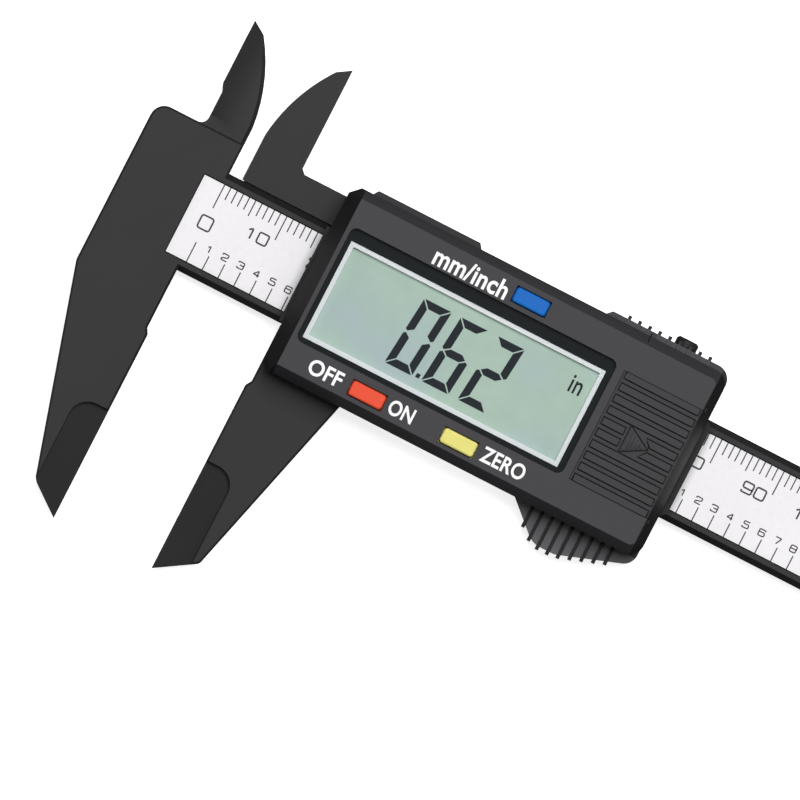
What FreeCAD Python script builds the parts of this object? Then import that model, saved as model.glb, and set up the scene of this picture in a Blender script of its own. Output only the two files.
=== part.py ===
import FreeCAD, Part
import Sketcher
import math
import os
import re

# A 150 mm digital caliper, lying flat with its display up.
# Every sub-part is drawn from one datum: x = 0 is the fixed measuring face, y = 0 is the middle of
# the beam, z = 0 is the back of the slider. The datum is then set so that the origin of the model
# is under the middle of the whole tool. +X runs along the beam, the outside jaws point to -Y.

doc = FreeCAD.newDocument("digital_caliper")
sheet = doc.addObject("Spreadsheet::Sheet", "Sizes")

# Driving dimensions, in millimetres.
SIZES = {
    # beam
    "beam_width": 15.7,
    "beam_thickness": 4.0,
    "beam_end": 223.3,
    "beam_bevel": 0.85,
    "beam_bevel_height": 1.6,
    "beam_root": 0.4,
    "end_block": 8.3,
    "label_start": 3.3,
    "label_side": 1.55,
    "label_sink": 0.35,
    "label_thickness": 0.15,
    "label_margin": 0.16,
    "stator_thickness": 0.8,
    # fixed head and jaw
    "head_back": 14.0,
    "head_top": 12.5,
    "head_waist": 13.0,
    "head_corner": 2.2,
    "head_setback": 0.1,
    "jaw_reach": 47.5,
    "jaw_heel": 43.8,
    "jaw_heel_back": 4.85,
    "jaw_heel_extra": 1.0,
    "jaw_tip_width": 4.9,
    "jaw_tip_start": 30.1,
    "jaw_tip_sink": 1.1,
    "jaw_tip_round": 3.0,
    "jaw_bevel": 0.3,
    "jaw_relief": 0.5,
    "jaw_face_start": 18.0,
    "relief_run": 0.9,
    # inside blades
    "inside_reach": 29.1,
    "blade_offset": 6.84,
    "blade_width": 7.0,
    "blade_thickness": 1.4,
    "blade_gap": 0.2,
    "blade_bend": 15.2,
    "blade_bulge": 0.9,
    "blade_shoulder": 1.3,
    "blade_tip_width": 2.05,
    "blade_relief": 0.48,
    "blade_relief_run": 1.2,
    "blade_face_start": 19.0,
    "blade_root_round": 1.2,
    "knife_width": 3.1,
    "knife_depth": 0.85,
    "knife_start": 14.2,
    "blade_back_bevel": 0.55,
    "arm_top": 12.65,
    "arm_gap": 0.12,
    "arm_corner": 0.65,
    "lip_reach": 0.5,
    "lip_root": 1.2,
    "lip_setback": 0.3,
    # opening of the jaws at rest, and running clearances
    "jaw_opening": 15.75,
    "slide_gap": 0.2,
    "rail_gap": 0.15,
    "board_gap": 0.3,
    "fit_gap": 0.05,
    "cut_over": 1.0,
    # slider; its length follows from the display and the battery
    "slider_start": 0.65,
    "slider_width": 29.3,
    "slider_wall": 1.4,
    "slider_bevel": 1.4,
    "slider_bevel_height": 3.3,
    "end_bevel": 2.05,
    "slider_corner": 2.2,
    "slider_relief": 0.55,
    "case_height": 8.1,
    "case_top": 1.7,
    "rail_inset": 0.3,
    "frame_inset": 0.1,
    "jaw_root_width": 13.45,
    "back_cover_thickness": 1.2,
    "back_cover_inset": 1.5,
    "back_cover_gap": 0.02,
    "web_thickness": 0.8,
    # thumb grip below, rubbing grip above, both with the same ribs
    "grip_length": 19.9,
    "grip_rise": 5.6,
    "grip_crest": 3.5,
    "grip_depth": 4.8,
    "grip_end_depth": 1.0,
    "grip_round": 3.0,
    "grip_back": 1.5,
    "grip_front_drop": 0.3,
    "grip_root": 1.0,
    "rib_first": 3.3,
    "rib_pitch": 1.61,
    "rib_width": 0.5,
    "rib_height": 0.55,
    "rib_lift": 0.3,
    "top_grip_rise": 0.75,
    "top_grip_height": 3.6,
    "top_pad_start": 2.95,
    "top_pad_length": 17.9,
    "top_pad_rise": 0.8,
    "seam_back": 12.85,
    "seam_width": 0.16,
    "seam_depth": 0.9,
    "collar_length": 0.95,
    "front_collar_gap": 0.1,
    "collar_bevel": 0.8,
    "collar_side": 0.25,
    "collar_height": 2.8,
    # display
    "recess_start": 3.35,
    "recess_length": 42.7,
    "recess_margin_low": 5.7,
    "recess_margin_top": 5.4,
    "recess_depth": 0.9,
    "recess_corner": 1.1,
    "window_thickness": 0.8,
    "bezel_margin_left": 0.8,
    "bezel_margin_right": 1.0,
    "bezel_margin_low": 0.8,
    "bezel_margin_top": 1.95,
    "bezel_rim": 0.7,
    "bezel_thickness": 0.7,
    "glass_lip": 0.5,
    "glass_thickness": 1.8,
    "strip_width": 1.6,
    "strip_inset": 1.0,
    # buttons
    "button_length": 5.25,
    "button_width": 2.25,
    "button_corner": 0.45,
    "button_edge": 0.2,
    "button_gap": 0.15,
    "button_rise": 0.6,
    "button_flange": 0.5,
    "button_flange_height": 0.6,
    "button_flange_gap": 0.1,
    "button_travel": 0.4,
    "stem_length": 2.0,
    "stem_width": 1.4,
    "switch_size": 3.0,
    "switch_height": 1.8,
    "plunger_radius": 0.8,
    "plunger_height": 0.45,
    "mode_button_x": 27.6,
    "mode_button_inset": 3.45,
    "power_button_x": 12.85,
    "power_button_inset": 3.3,
    "zero_button_x": 27.55,
    "zero_button_inset": 3.25,
    # battery and its cover
    "battery_width": 11.6,
    "battery_height": 5.4,
    "battery_y": -0.1,
    "battery_gap": 0.2,
    "battery_deck": 1.4,
    "battery_end": 1.85,
    "battery_cap_height": 0.3,
    "battery_cap_inset": 0.9,
    "battery_edge": 0.3,
    "cover_spacing": 1.3,
    "cover_lead": 0.4,
    "cover_surround": 5.7,
    "cover_thickness": 1.2,
    "cover_gap": 0.08,
    "tongue_width": 0.6,
    "tongue_height": 0.5,
    "cover_rib_height": 0.3,
    "cover_rib_width": 0.93,
    "cover_rib_margin": 0.95,
    "cover_rib_start": 0.45,
    "cover_rib_end": 0.35,
    "cover_rib_break": 3.8,
    "cover_rib_resume": 7.3,
    "groove_width": 0.2,
    "groove_depth": 0.4,
    "arrow_start": 4.5,
    "arrow_length": 3.4,
    "arrow_width": 3.9,
    "arrow_pitch": 0.56,
    "arrow_bar": 0.34,
    "contact_thickness": 0.25,
    "contact_width": 3.0,
    "contact_foot": 2.0,
    "contact_gap": 0.1,
    # circuit board
    "board_thickness": 1.0,
    "board_margin": 0.35,
    "board_boss_gap": 0.2,
    "chip_x": 20.65,
    "chip_radius": 4.0,
    "chip_shoulder": 0.4,
    "chip_flat": 1.6,
    "chip_height": 1.2,
    "capacitor_x": 32.65,
    "capacitor_y": -3.0,
    "capacitor_pitch": 2.0,
    "capacitor_width": 0.8,
    "capacitor_length": 1.6,
    # screws
    "case_screw_inset": 4.2,
    "case_screw_side": 3.45,
    "boss_radius": 1.8,
    "boss_root": 0.2,
    "screw_radius": 0.8,
    "screw_reach": 4.0,
    "screw_room": 0.8,
    "screw_head_radius": 1.6,
    "screw_head_height": 0.7,
    "screw_head_sink": 0.1,
    "screw_clearance": 0.1,
    "slot_width": 0.3,
    "slot_depth": 0.3,
    "board_screw_left_inset": 6.85,
    "board_screw_right_inset": 3.85,
    "board_screw_radius": 0.7,
    "board_screw_head": 1.2,
    "board_screw_head_height": 0.7,
    "board_screw_depth": 2.6,
    "board_screw_room": 0.2,
    # depth rod
    "rod_width": 3.2,
    "rod_thickness": 1.2,
    "rod_gap": 0.1,
    "rod_length_inside": 15.2,
    "rod_groove_lead": 2.0,
    "rod_tip_length": 6.4,
    "rod_tip_width": 1.45,
    "rod_tip_slope": 1.75,
    "rod_boss_width": 2.6,
    "rod_boss_length": 7.0,
    "rod_screw_radius": 0.6,
    "rod_screw_head": 1.1,
    "rod_screw_head_height": 0.5,
    "guide_plate_length": 12.0,
    "guide_plate_width": 9.0,
    "guide_plate_thickness": 0.6,
    "guide_plate_end": 2.3,
    "guide_screw_y": 3.2,
    "guide_screw_radius": 0.5,
    "guide_screw_head": 1.05,
    "guide_screw_length": 1.6,
    "guide_hole_floor": 0.2,
    # lock screw
    "lock_back": 7.6,
    "lock_knob_radius": 1.7,
    "lock_knob_gap": 0.1,
    "lock_knob_length": 1.95,
    "lock_knob_edge": 0.3,
    "lock_shank_radius": 0.9,
    "lock_pad_gap": 0.12,
    "lock_pad_length": 1.5,
    "lock_slot_width": 0.5,
    "lock_slot_depth": 0.9,
}

# Places worked out from the driving dimensions.
PLACES = {
    "origin_x": "(head_back - beam_end - jaw_opening) / 2",
    "origin_y": "(jaw_reach - inside_reach) / 2",
    "beam_half": "beam_width / 2",
    "beam_start": "-jaw_relief - beam_root",
    "label_half": "beam_half - label_side",
    "web_back": "back_cover_thickness",
    "web_front": "web_back + web_thickness",
    "beam_back": "web_front + slide_gap",
    "beam_front": "beam_back + beam_thickness",
    "label_front": "beam_front - label_sink",
    "stator_front": "label_front - label_thickness",
    "stator_back": "stator_front - stator_thickness",
    "blade_split": "beam_back + (beam_thickness - blade_gap) / 2",
    "fixed_blade_back": "blade_split + blade_gap",
    "fixed_blade_front": "fixed_blade_back + blade_thickness",
    "moving_blade_back": "blade_split - blade_thickness",
    "moving_edge": "jaw_opening - blade_offset",
    "shoulder_level": "inside_reach - blade_shoulder",
    "arm_bottom": "beam_half + arm_gap",
    "tip_bulge": "jaw_tip_round * (1 - sqrt(0.5))",
    "corner_bulge": "slider_corner * (1 - sqrt(0.5))",
    "rod_back": "beam_back + guide_plate_thickness + rod_gap",
    "rod_front": "rod_back + rod_thickness",
    "rod_end": "beam_end + jaw_opening",
    "rail_front": "beam_front + board_gap",
    "rail_inner": "beam_half + rail_gap",
    "rail_outer": "slider_half - rail_inset",
    "slider_half": "slider_width / 2",
    "slider_left": "jaw_opening + slider_start",
    "slider_right": "battery_mid_x + battery_width / 2 + battery_end",
    "frame_left": "slider_left + frame_inset",
    "frame_right": "slider_right - frame_inset",
    "case_front": "rail_front + case_height",
    "case_inside": "case_front - case_top",
    "board_left": "slider_left + slider_wall + board_margin",
    "board_right": "slider_right - slider_wall - board_margin",
    "board_half": "slider_half - slider_wall - board_margin",
    "board_front": "rail_front + board_thickness",
    "recess_floor": "case_front - recess_depth",
    "recess_left": "jaw_opening + recess_start",
    "recess_right": "recess_left + recess_length",
    "recess_low": "recess_margin_low - slider_half",
    "recess_top": "slider_half - recess_margin_top",
    "bezel_left": "recess_left + bezel_margin_left",
    "bezel_right": "recess_right - bezel_margin_right",
    "bezel_low": "recess_low + bezel_margin_low",
    "bezel_top": "recess_top - bezel_margin_top",
    "glass_front": "case_inside",
    "glass_back": "glass_front - glass_thickness",
    "switch_front": "board_front + switch_height",
    "plunger_front": "switch_front + plunger_height",
    "flange_front": "case_inside - button_flange_gap",
    "flange_back": "flange_front - button_flange_height",
    "stem_back": "plunger_front + button_travel + fit_gap",
    "mode_x": "recess_left + mode_button_x",
    "mode_y": "slider_half - mode_button_inset",
    "power_x": "recess_left + power_button_x",
    "power_y": "power_button_inset - slider_half",
    "zero_x": "recess_left + zero_button_x",
    "zero_y": "zero_button_inset - slider_half",
    "cover_back": "case_front - cover_thickness",
    "cover_left": "recess_right + cover_spacing",
    "cover_width": "battery_width + cover_surround",
    "cover_low": "battery_y - cover_width / 2",
    "cover_top": "battery_y + cover_width / 2",
    "cover_right": "slider_right - slider_bevel",
    "row_pitch": "(cover_width - cover_rib_margin) / 9",
    "battery_mid_x": "cover_left + cover_lead + battery_width / 2",
    "battery_back": "cover_back - battery_gap - battery_height",
    "battery_side": "battery_mid_x - battery_width / 2",
    "deck_back": "cover_back - battery_deck",
    "deck_left": "cover_left - slider_wall",
    "case_screw_y": "slider_half - case_screw_side",
    "screw_left": "slider_left + case_screw_inset",
    "screw_right": "slider_right - case_screw_inset",
    "screw_head_front": "screw_head_sink + screw_head_height",
    "board_screw_left": "recess_left + board_screw_left_inset",
    "board_screw_right": "recess_right - board_screw_right_inset",
    "rod_left": "slider_right - rod_length_inside",
    "rod_screw_x": "rod_left + rod_boss_length / 2",
    "rod_head_front": "web_back + fit_gap + rod_screw_head_height",
    "guide_right": "beam_end - guide_plate_end",
    "guide_left": "guide_right - guide_plate_length",
    "guide_screw_x": "(guide_left + guide_right) / 2",
    "lock_mid_x": "slider_right - lock_back",
    "lock_mid_z": "(beam_back + beam_front) / 2",
    "lock_pad_low": "beam_half + lock_pad_gap",
    "knob_start": "slider_half + lock_knob_gap",
    "knob_end": "knob_start + lock_knob_length",
    "grip_left": "slider_right - grip_length",
    "crest_left": "grip_left + grip_rise",
    "crest_right": "crest_left + grip_crest",
    "crest_level": "-slider_half - grip_depth",
    "seam_left": "slider_right - seam_back",
}


def fill_sheet():
    for row, (alias, size) in enumerate(SIZES.items(), 1):
        sheet.set("A%d" % row, alias.replace("_", " "))
        sheet.set("B%d" % row, str(size))
        sheet.setAlias("B%d" % row, alias)
    doc.recompute()


def expand(text, prefix="Sizes."):
    """Writes an expression with every place worked out and every size read from the sheet."""

    def swap(match):
        word = match.group(0)
        if word in PLACES:
            return "(" + expand(PLACES[word], prefix) + ")"
        if word in SIZES:
            return prefix + word
        return word

    return re.sub(r"[a-z][a-z_]*", swap, str(text))


def value(text):
    return float(sheet.evalExpression(expand(text, "")))


def bind(item, field, text):
    item.setExpression(field, expand(text))


def new_body(name):
    body = doc.addObject("PartDesign::Body", name)
    body.Label = name
    bind(body, "Placement.Base.x", "origin_x")
    bind(body, "Placement.Base.y", "origin_y")
    return body


def origin_plane(body, role):
    return [item for item in body.Origin.OriginFeatures if item.Role == role][0]


def pin_point(outline, index, corner, across, along):
    """Holds one corner of a sketch at a place given by two expressions."""
    point = outline.getPoint(index, corner)
    for kind, text, size in (("DistanceX", across, point.x), ("DistanceY", along, point.y)):
        number = outline.addConstraint(Sketcher.Constraint(kind, -1, 1, index, corner, size))
        bind(outline, "Constraints[%d]" % number, text)


def add_loop(outline, points):
    """Closed outline of (x, y) corners; a third value bulges the side that ends there."""
    first = outline.GeometryCount
    spots = [FreeCAD.Vector(value(point[0]), value(point[1]), 0) for point in points]
    ends = []
    for number, start in enumerate(spots):
        target = points[(number + 1) % len(points)]
        end = spots[(number + 1) % len(points)]
        if len(target) == 3:
            outward = (end - start).cross(FreeCAD.Vector(0, 0, 1)).normalize()
            middle = (start + end) * 0.5 + outward * value(target[2])
            outline.addGeometry(Part.Arc(start, middle, end), False)
        else:
            outline.addGeometry(Part.LineSegment(start, end), False)
        begins = (outline.getPoint(first + number, 1) - start).Length < 1e-6
        ends.append((1, 2) if begins else (2, 1))
    for number in range(len(points)):
        after = (number + 1) % len(points)
        outline.addConstraint(Sketcher.Constraint("Coincident", first + number, ends[number][1],
                                                  first + after, ends[after][0]))
        pin_point(outline, first + number, ends[number][0], points[number][0], points[number][1])
        target = points[after]
        if len(target) == 3:
            chord = "((%s) - (%s))^2 + ((%s) - (%s))^2" % (
                target[0], points[number][0], target[1], points[number][1])
            radius = "(%s) / (8 * (%s)) + (%s) / 2" % (chord, target[2], target[2])
            held = outline.addConstraint(Sketcher.Constraint("Radius", first + number, value(radius)))
            bind(outline, "Constraints[%d]" % held, radius)


def add_circle(outline, across, along, radius):
    centre = FreeCAD.Vector(value(across), value(along), 0)
    index = outline.addGeometry(Part.Circle(centre, FreeCAD.Vector(0, 0, 1), value(radius)), False)
    pin_point(outline, index, 3, across, along)
    held = outline.addConstraint(Sketcher.Constraint("Radius", index, value(radius)))
    bind(outline, "Constraints[%d]" % held, radius)


def new_sketch(body, name, loops, level, plane):
    outline = body.newObject("Sketcher::SketchObject", name)
    outline.AttachmentSupport = [(origin_plane(body, plane), "")]
    outline.MapMode = "FlatFace"
    bind(outline, "AttachmentOffset.Base.z", level)
    for loop in loops:
        if loop[0] == "circle":
            add_circle(outline, *loop[1:])
        else:
            add_loop(outline, loop)
    doc.recompute()
    return outline


def pad(body, name, loops, level, height, plane="XY_Plane", middle=False, taper="0"):
    """Builds upwards from the level; a taper leans the walls outwards, or inwards if negative."""
    made = body.newObject("PartDesign::Pad", name)
    made.Profile = new_sketch(body, name + "_outline", loops, level, plane)
    made.Midplane = middle
    bind(made, "Length", height)
    if taper != "0":
        bind(made, "TaperAngle", taper)
    doc.recompute()
    return made


def cut(body, name, loops, level, depth, plane="XY_Plane", middle=False):
    """Cuts downwards from the level, or to both sides of it."""
    before = body.Tip.Shape.Volume
    made = body.newObject("PartDesign::Pocket", name)
    made.Profile = new_sketch(body, name + "_outline", loops, level, plane)
    made.Midplane = middle
    bind(made, "Length", depth)
    doc.recompute()
    if made.Shape.Volume > before - 1e-4:
        raise ValueError(name + " cut nothing")
    return made


def box(left, low, right, top):
    return [(left, low), (right, low), (right, top), (left, top)]


def edges_where(body, test):
    """Names of the straight edges of the body's last feature whose two ends pass the test."""
    names = []
    for number, edge in enumerate(body.Tip.Shape.Edges, 1):
        ends = [vertex.Point for vertex in edge.Vertexes]
        if test(ends[0], ends[-1]):
            names.append("Edge%d" % number)
    return names


def upright_at(spots):
    corners = [(value(x), value(y)) for x, y in spots]

    def test(first, last):
        upright = math.dist((first.x, first.y), (last.x, last.y)) < 1e-4
        return upright and any(math.dist((first.x, first.y), spot) < 1e-3 for spot in corners)

    return test


def at_level(*levels):
    heights = [value(level) for level in levels]

    def test(first, last):
        return any(max(abs(first.z - height), abs(last.z - height)) < 1e-4 for height in heights)

    return test


def dress(body, kind, name, test, field, text):
    """Fillets or chamfers the edges that pass the test."""
    base = body.Tip
    names = edges_where(body, test)
    if not names:
        raise ValueError(name + " found no edge")
    made = body.newObject("PartDesign::" + kind, name)
    made.Base = (base, names)
    bind(made, field, text)
    doc.recompute()
    return made


def fillet(body, name, test, radius):
    return dress(body, "Fillet", name, test, "Radius", radius)


def chamfer(body, name, test, size):
    return dress(body, "Chamfer", name, test, "Size", size)


def four_corners(across, along):
    """Screw places on both sides of the middle line."""
    return [(x, y) for x in across for y in (along, "-" + along)]


def rounds(spots, radius):
    return [("circle", x, y, radius) for x, y in spots]


def slots(spots, half_length, width):
    return [box("%s - %s" % (x, half_length), "%s - %s / 2" % (y, width),
                "%s + %s" % (x, half_length), "%s + %s / 2" % (y, width)) for x, y in spots]


def around(spot, length, width):
    x, y = spot
    return box("%s - (%s) / 2" % (x, length), "%s - (%s) / 2" % (y, width),
               "%s + (%s) / 2" % (x, length), "%s + (%s) / 2" % (y, width))


BUTTONS = {
    "mode_button": ("mode_x", "mode_y"),
    "power_button": ("power_x", "power_y"),
    "zero_button": ("zero_x", "zero_y"),
}
CASE_SCREWS = four_corners(("screw_left", "screw_right"), "case_screw_y")
BOARD_SCREWS = four_corners(("board_screw_left", "board_screw_right"), "case_screw_y")
GUIDE_SCREWS = four_corners(("guide_screw_x",), "guide_screw_y")


def tip_recess(face, way):
    """The thinned measuring tip: a strip along the face with one round corner at its top."""
    outer = "(%s) + (%d) * jaw_tip_width" % (face, way)
    inner = "(%s) - (%d) * cut_over" % (face, way)
    bend = "(%s) + (%d) * (jaw_tip_width - jaw_tip_round)" % (face, way)
    low = "-jaw_reach - cut_over"
    round_start = "-jaw_tip_start - jaw_tip_round"
    if way > 0:
        return [(inner, low), (outer, low), (outer, round_start),
                (bend, "-jaw_tip_start", "tip_bulge"), (inner, "-jaw_tip_start")]
    return [(inner, low), (inner, "-jaw_tip_start"), (bend, "-jaw_tip_start"),
            (outer, round_start, "tip_bulge"), (outer, low)]


def build_beam():
    body = new_body("beam_and_fixed_jaw")
    pad(body, "head", [[
        ("-head_setback", "head_top"), ("-head_back", "head_top"), ("-head_back", "-head_waist"),
        ("-jaw_heel_back", "-jaw_heel"), ("0", "-jaw_reach"), ("0", "-jaw_face_start"),
        ("-jaw_relief", "-jaw_face_start + relief_run"), ("-jaw_relief", "0"), ("-head_setback", "0"),
    ]], "beam_back", "beam_thickness")
    fillet(body, "head_corner_round", upright_at([("-head_back", "head_top")]), "head_corner")
    fillet(body, "jaw_back_round", upright_at([("-head_back", "-head_waist"),
                                               ("-jaw_heel_back", "-jaw_heel")]), "head_corner")
    chamfer(body, "head_bevel", at_level("beam_back", "beam_front"), "jaw_bevel")
    pad(body, "beam", [[
        ("-beam_half", "beam_back"), ("beam_half", "beam_back"),
        ("beam_half", "beam_front - beam_bevel_height"), ("beam_half - beam_bevel", "beam_front"),
        ("beam_bevel - beam_half", "beam_front"), ("-beam_half", "beam_front - beam_bevel_height"),
    ]], "beam_start", "beam_end - beam_start", "YZ_Plane")
    # the back of the head is cleared for the arm of the moving inside blade
    cut(body, "arm_way", [box("-head_back - cut_over", "arm_bottom - arm_gap + fit_gap", "cut_over",
                              "head_top + cut_over")], "fixed_blade_back", "beam_thickness")
    build_fixed_blade(body)
    cut(body, "jaw_tip", [tip_recess("0", -1)], "beam_front", "jaw_tip_sink")
    cut(body, "label_recess", [box("-label_start", "-label_half", "beam_end - end_block", "label_half")],
        "beam_front", "beam_front - stator_back")
    cut(body, "rod_groove", [box("rod_left - jaw_opening - rod_groove_lead", "-rod_width / 2 - rod_gap",
                                 "beam_end + cut_over", "rod_width / 2 + rod_gap")],
        "rod_front + rod_gap", "rod_front + rod_gap - beam_back")
    cut(body, "plate_recess", [box("guide_left - fit_gap", "-guide_plate_width / 2 - fit_gap",
                                   "guide_right + fit_gap", "guide_plate_width / 2 + fit_gap")],
        "beam_back + guide_plate_thickness", "guide_plate_thickness")
    cut(body, "plate_screw_holes", rounds(GUIDE_SCREWS, "guide_screw_radius + fit_gap"),
        "stator_back - guide_hole_floor", "stator_back - guide_hole_floor - beam_back")


def build_fixed_blade(body):
    """Blade for inside measuring on the front half of the head, sharpened towards its edge."""
    relief = "-blade_offset + blade_relief"
    pad(body, "inside_blade", [[
        ("-head_setback", "arm_bottom"), ("-head_setback", "blade_bend"),
        ("-blade_offset + blade_tip_width", "shoulder_level", "blade_bulge"),
        ("-blade_offset", "inside_reach"), ("-blade_offset", "blade_face_start"),
        (relief, "blade_face_start - blade_relief_run"), (relief, "arm_bottom"),
    ]], "fixed_blade_back", "blade_thickness")
    fillet(body, "blade_root", upright_at([(relief, "head_top")]), "blade_root_round")
    top = value("fixed_blade_front")
    outer = value("-blade_offset + blade_tip_width") - 1e-3
    low = value("head_top")

    def on_back(first, last):
        level = max(abs(first.z - top), abs(last.z - top)) < 1e-4
        return level and min(first.y, last.y) > low and min(first.x, last.x) > outer

    chamfer(body, "blade_back", on_back, "blade_back_bevel")
    cut(body, "knife", [[
        ("-blade_offset - cut_over", "fixed_blade_front - knife_depth * (1 + cut_over / knife_width)"),
        ("-blade_offset + knife_width", "fixed_blade_front"),
        ("-blade_offset + knife_width", "fixed_blade_front + cut_over"),
        ("-blade_offset - cut_over", "fixed_blade_front + cut_over"),
    ]], "-knife_start", "inside_reach - knife_start + cut_over", "XZ_Plane")


def build_beam_fittings():
    outline = box("label_margin - label_start", "label_margin - label_half",
                  "beam_end - end_block - label_margin", "label_half - label_margin")
    body = new_body("stator_board")
    pad(body, "board", [outline], "stator_back", "stator_thickness")
    body = new_body("scale_label")
    pad(body, "label", [outline], "stator_front", "label_thickness")
    body = new_body("rod_guide_plate")
    pad(body, "plate", [box("guide_left", "-guide_plate_width / 2", "guide_right", "guide_plate_width / 2")],
        "beam_back", "guide_plate_thickness")
    cut(body, "screw_holes", rounds(GUIDE_SCREWS, "guide_screw_head + fit_gap"),
        "beam_back + guide_plate_thickness", "guide_plate_thickness")
    body = new_body("guide_plate_screws")
    pad(body, "heads", rounds(GUIDE_SCREWS, "guide_screw_head"), "beam_back + fit_gap",
        "guide_plate_thickness - fit_gap")
    pad(body, "shanks", rounds(GUIDE_SCREWS, "guide_screw_radius"),
        "beam_back + guide_plate_thickness", "guide_screw_length")
    cut(body, "slots", slots(GUIDE_SCREWS, "guide_screw_head", "slot_width"),
        "beam_back + fit_gap + slot_depth", "slot_depth")


def grip_reach(across):
    """How far the thumb grip stands out of the slider at a distance from the grip's start."""
    rise = "grip_depth * (%s) / grip_rise" % across
    fall = "grip_depth - (grip_depth - grip_end_depth) * ((%s) - grip_rise - grip_crest)" % across
    fall += " / (grip_length - grip_rise - grip_crest)"
    return "min(%s; grip_depth; %s)" % (rise, fall)


def rib_places():
    return ["rib_first + %d * rib_pitch" % number for number in range(9)]


def rib_box(place, low, top):
    left = "grip_left + %s - rib_width / 2" % place
    return box(left, low, left + " + rib_width", top)


def rounded_plan(left, right, half):
    """Plan of the slider: bevelled corners on the left and round ones on the right."""
    low = "-" + half
    return [
        (left, low + " + slider_bevel"), (left + " + slider_bevel", low),
        (right + " - slider_corner", low), (right, low + " + slider_corner", "corner_bulge"),
        (right, half + " - slider_corner"), (right + " - slider_corner", half, "corner_bulge"),
        (left + " + slider_bevel", half), (left, half + " - slider_bevel"),
    ]


def build_frame():
    body = new_body("slider_frame")
    build_moving_jaw(body)
    plan = rounded_plan("frame_left", "frame_right", "rail_outer")
    edges = [("frame_left", "rail_inner"), ("frame_right", "rail_inner")]
    pad(body, "upper_rail", [edges + plan[4:]], "web_back", "rail_front - web_back")
    edges = [("frame_right", "-rail_inner"), ("frame_left", "-rail_inner")]
    pad(body, "lower_rail", [plan[:4] + edges], "web_back", "rail_front - web_back")
    pad(body, "web", [plan], "web_back", "web_thickness")
    pad(body, "skirt", [plan, box("slider_left + back_cover_inset", "back_cover_inset - slider_half",
                                  "slider_right - back_cover_inset", "slider_half - back_cover_inset")],
        "0", "web_back")
    pad(body, "rod_boss", [box("rod_left", "-rod_boss_width / 2", "rod_left + rod_boss_length",
                               "rod_boss_width / 2")], "web_front", "rod_back - web_front")
    build_thumb_grip(body)
    pad(body, "top_pad", [[
        ("slider_left + top_pad_start", "rail_outer - grip_root"),
        ("slider_left + top_pad_start + top_pad_length", "rail_outer - grip_root"),
        ("slider_left + top_pad_start + top_pad_length", "rail_outer"),
        ("slider_left + top_pad_start + top_pad_length - top_pad_rise", "slider_half + top_pad_rise"),
        ("slider_left + top_pad_start + top_pad_rise", "slider_half + top_pad_rise"),
        ("slider_left + top_pad_start", "rail_outer"),
    ]], "web_front", "rail_front - web_front")
    cut(body, "case_screw_holes", rounds(CASE_SCREWS, "screw_radius + screw_clearance"),
        "rail_front", "rail_front - web_back + fit_gap")
    cut(body, "board_screw_holes", rounds(BOARD_SCREWS, "board_screw_radius + fit_gap"),
        "rail_front", "board_screw_depth + board_screw_room")
    rod_screw = [("rod_screw_x", "0")]
    cut(body, "rod_screw_head_sink", rounds(rod_screw, "rod_screw_head + screw_clearance"),
        "rod_head_front", "rod_head_front - web_back")
    cut(body, "rod_screw_hole", rounds(rod_screw, "rod_screw_radius + screw_clearance"),
        "rod_back", "rod_back - web_back")
    cut(body, "lock_bore", [("circle", "lock_mid_x", "lock_mid_z", "lock_shank_radius + screw_clearance")],
        "cut_over - rail_inner", "rail_outer - rail_inner + 2 * cut_over", "XZ_Plane")


def build_moving_jaw(body):
    """Outside jaw at the beam's level, and the arm and blade that pass behind the fixed head."""
    face = "jaw_opening"
    heel = face + " + jaw_heel_back + jaw_heel_extra"
    root = face + " + jaw_root_width"
    pad(body, "jaw", [[
        (face, "-jaw_reach"), (heel, "-jaw_heel"), (root, "-slider_half"), (root, "-rail_inner"),
        (face + " + slider_relief", "-rail_inner"),
        (face + " + slider_relief", "-jaw_face_start + relief_run"), (face, "-jaw_face_start"),
    ]], "beam_back", "beam_thickness")
    fillet(body, "jaw_heel_round", upright_at([(heel, "-jaw_heel")]), "jaw_heel_extra")
    chamfer(body, "jaw_bevels", at_level("beam_back", "beam_front"), "jaw_bevel")
    cut(body, "jaw_tip", [tip_recess(face, 1)], "beam_front", "jaw_tip_sink")
    pad(body, "inside_blade", [[
        ("moving_edge - blade_width", "arm_bottom"), ("frame_right - cut_over", "arm_bottom"),
        ("frame_right - cut_over", "arm_top"), ("moving_edge + arm_corner", "arm_top"),
        ("moving_edge", "arm_top + arm_corner"), ("moving_edge", "inside_reach"),
        ("moving_edge - blade_tip_width", "shoulder_level"),
        ("moving_edge - blade_width", "blade_bend", "blade_bulge"),
    ]], "moving_blade_back", "blade_thickness")
    # a lip behind the beam's upper edge steadies the arm and closes the gap under it
    lip = ("moving_edge - blade_width + lip_setback", "frame_left + cut_over")
    pad(body, "arm_lip", [box(lip[0], "beam_half - lip_reach", lip[1], "arm_bottom + lip_root")],
        "web_back", "web_thickness")
    pad(body, "arm_lip_root", [box(lip[0], "arm_bottom", lip[1], "arm_bottom + lip_root")],
        "web_back", "moving_blade_back + lip_setback - web_back")
    # the knife edge of this blade is on its back, so that the two blades pass face to face
    cut(body, "knife", [[
        ("moving_edge - knife_width", "moving_blade_back"),
        ("moving_edge + cut_over", "moving_blade_back + knife_depth * (1 + cut_over / knife_width)"),
        ("moving_edge + cut_over", "moving_blade_back - cut_over"),
        ("moving_edge - knife_width", "moving_blade_back - cut_over"),
    ]], "-knife_start", "inside_reach - knife_start + cut_over", "XZ_Plane")


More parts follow.
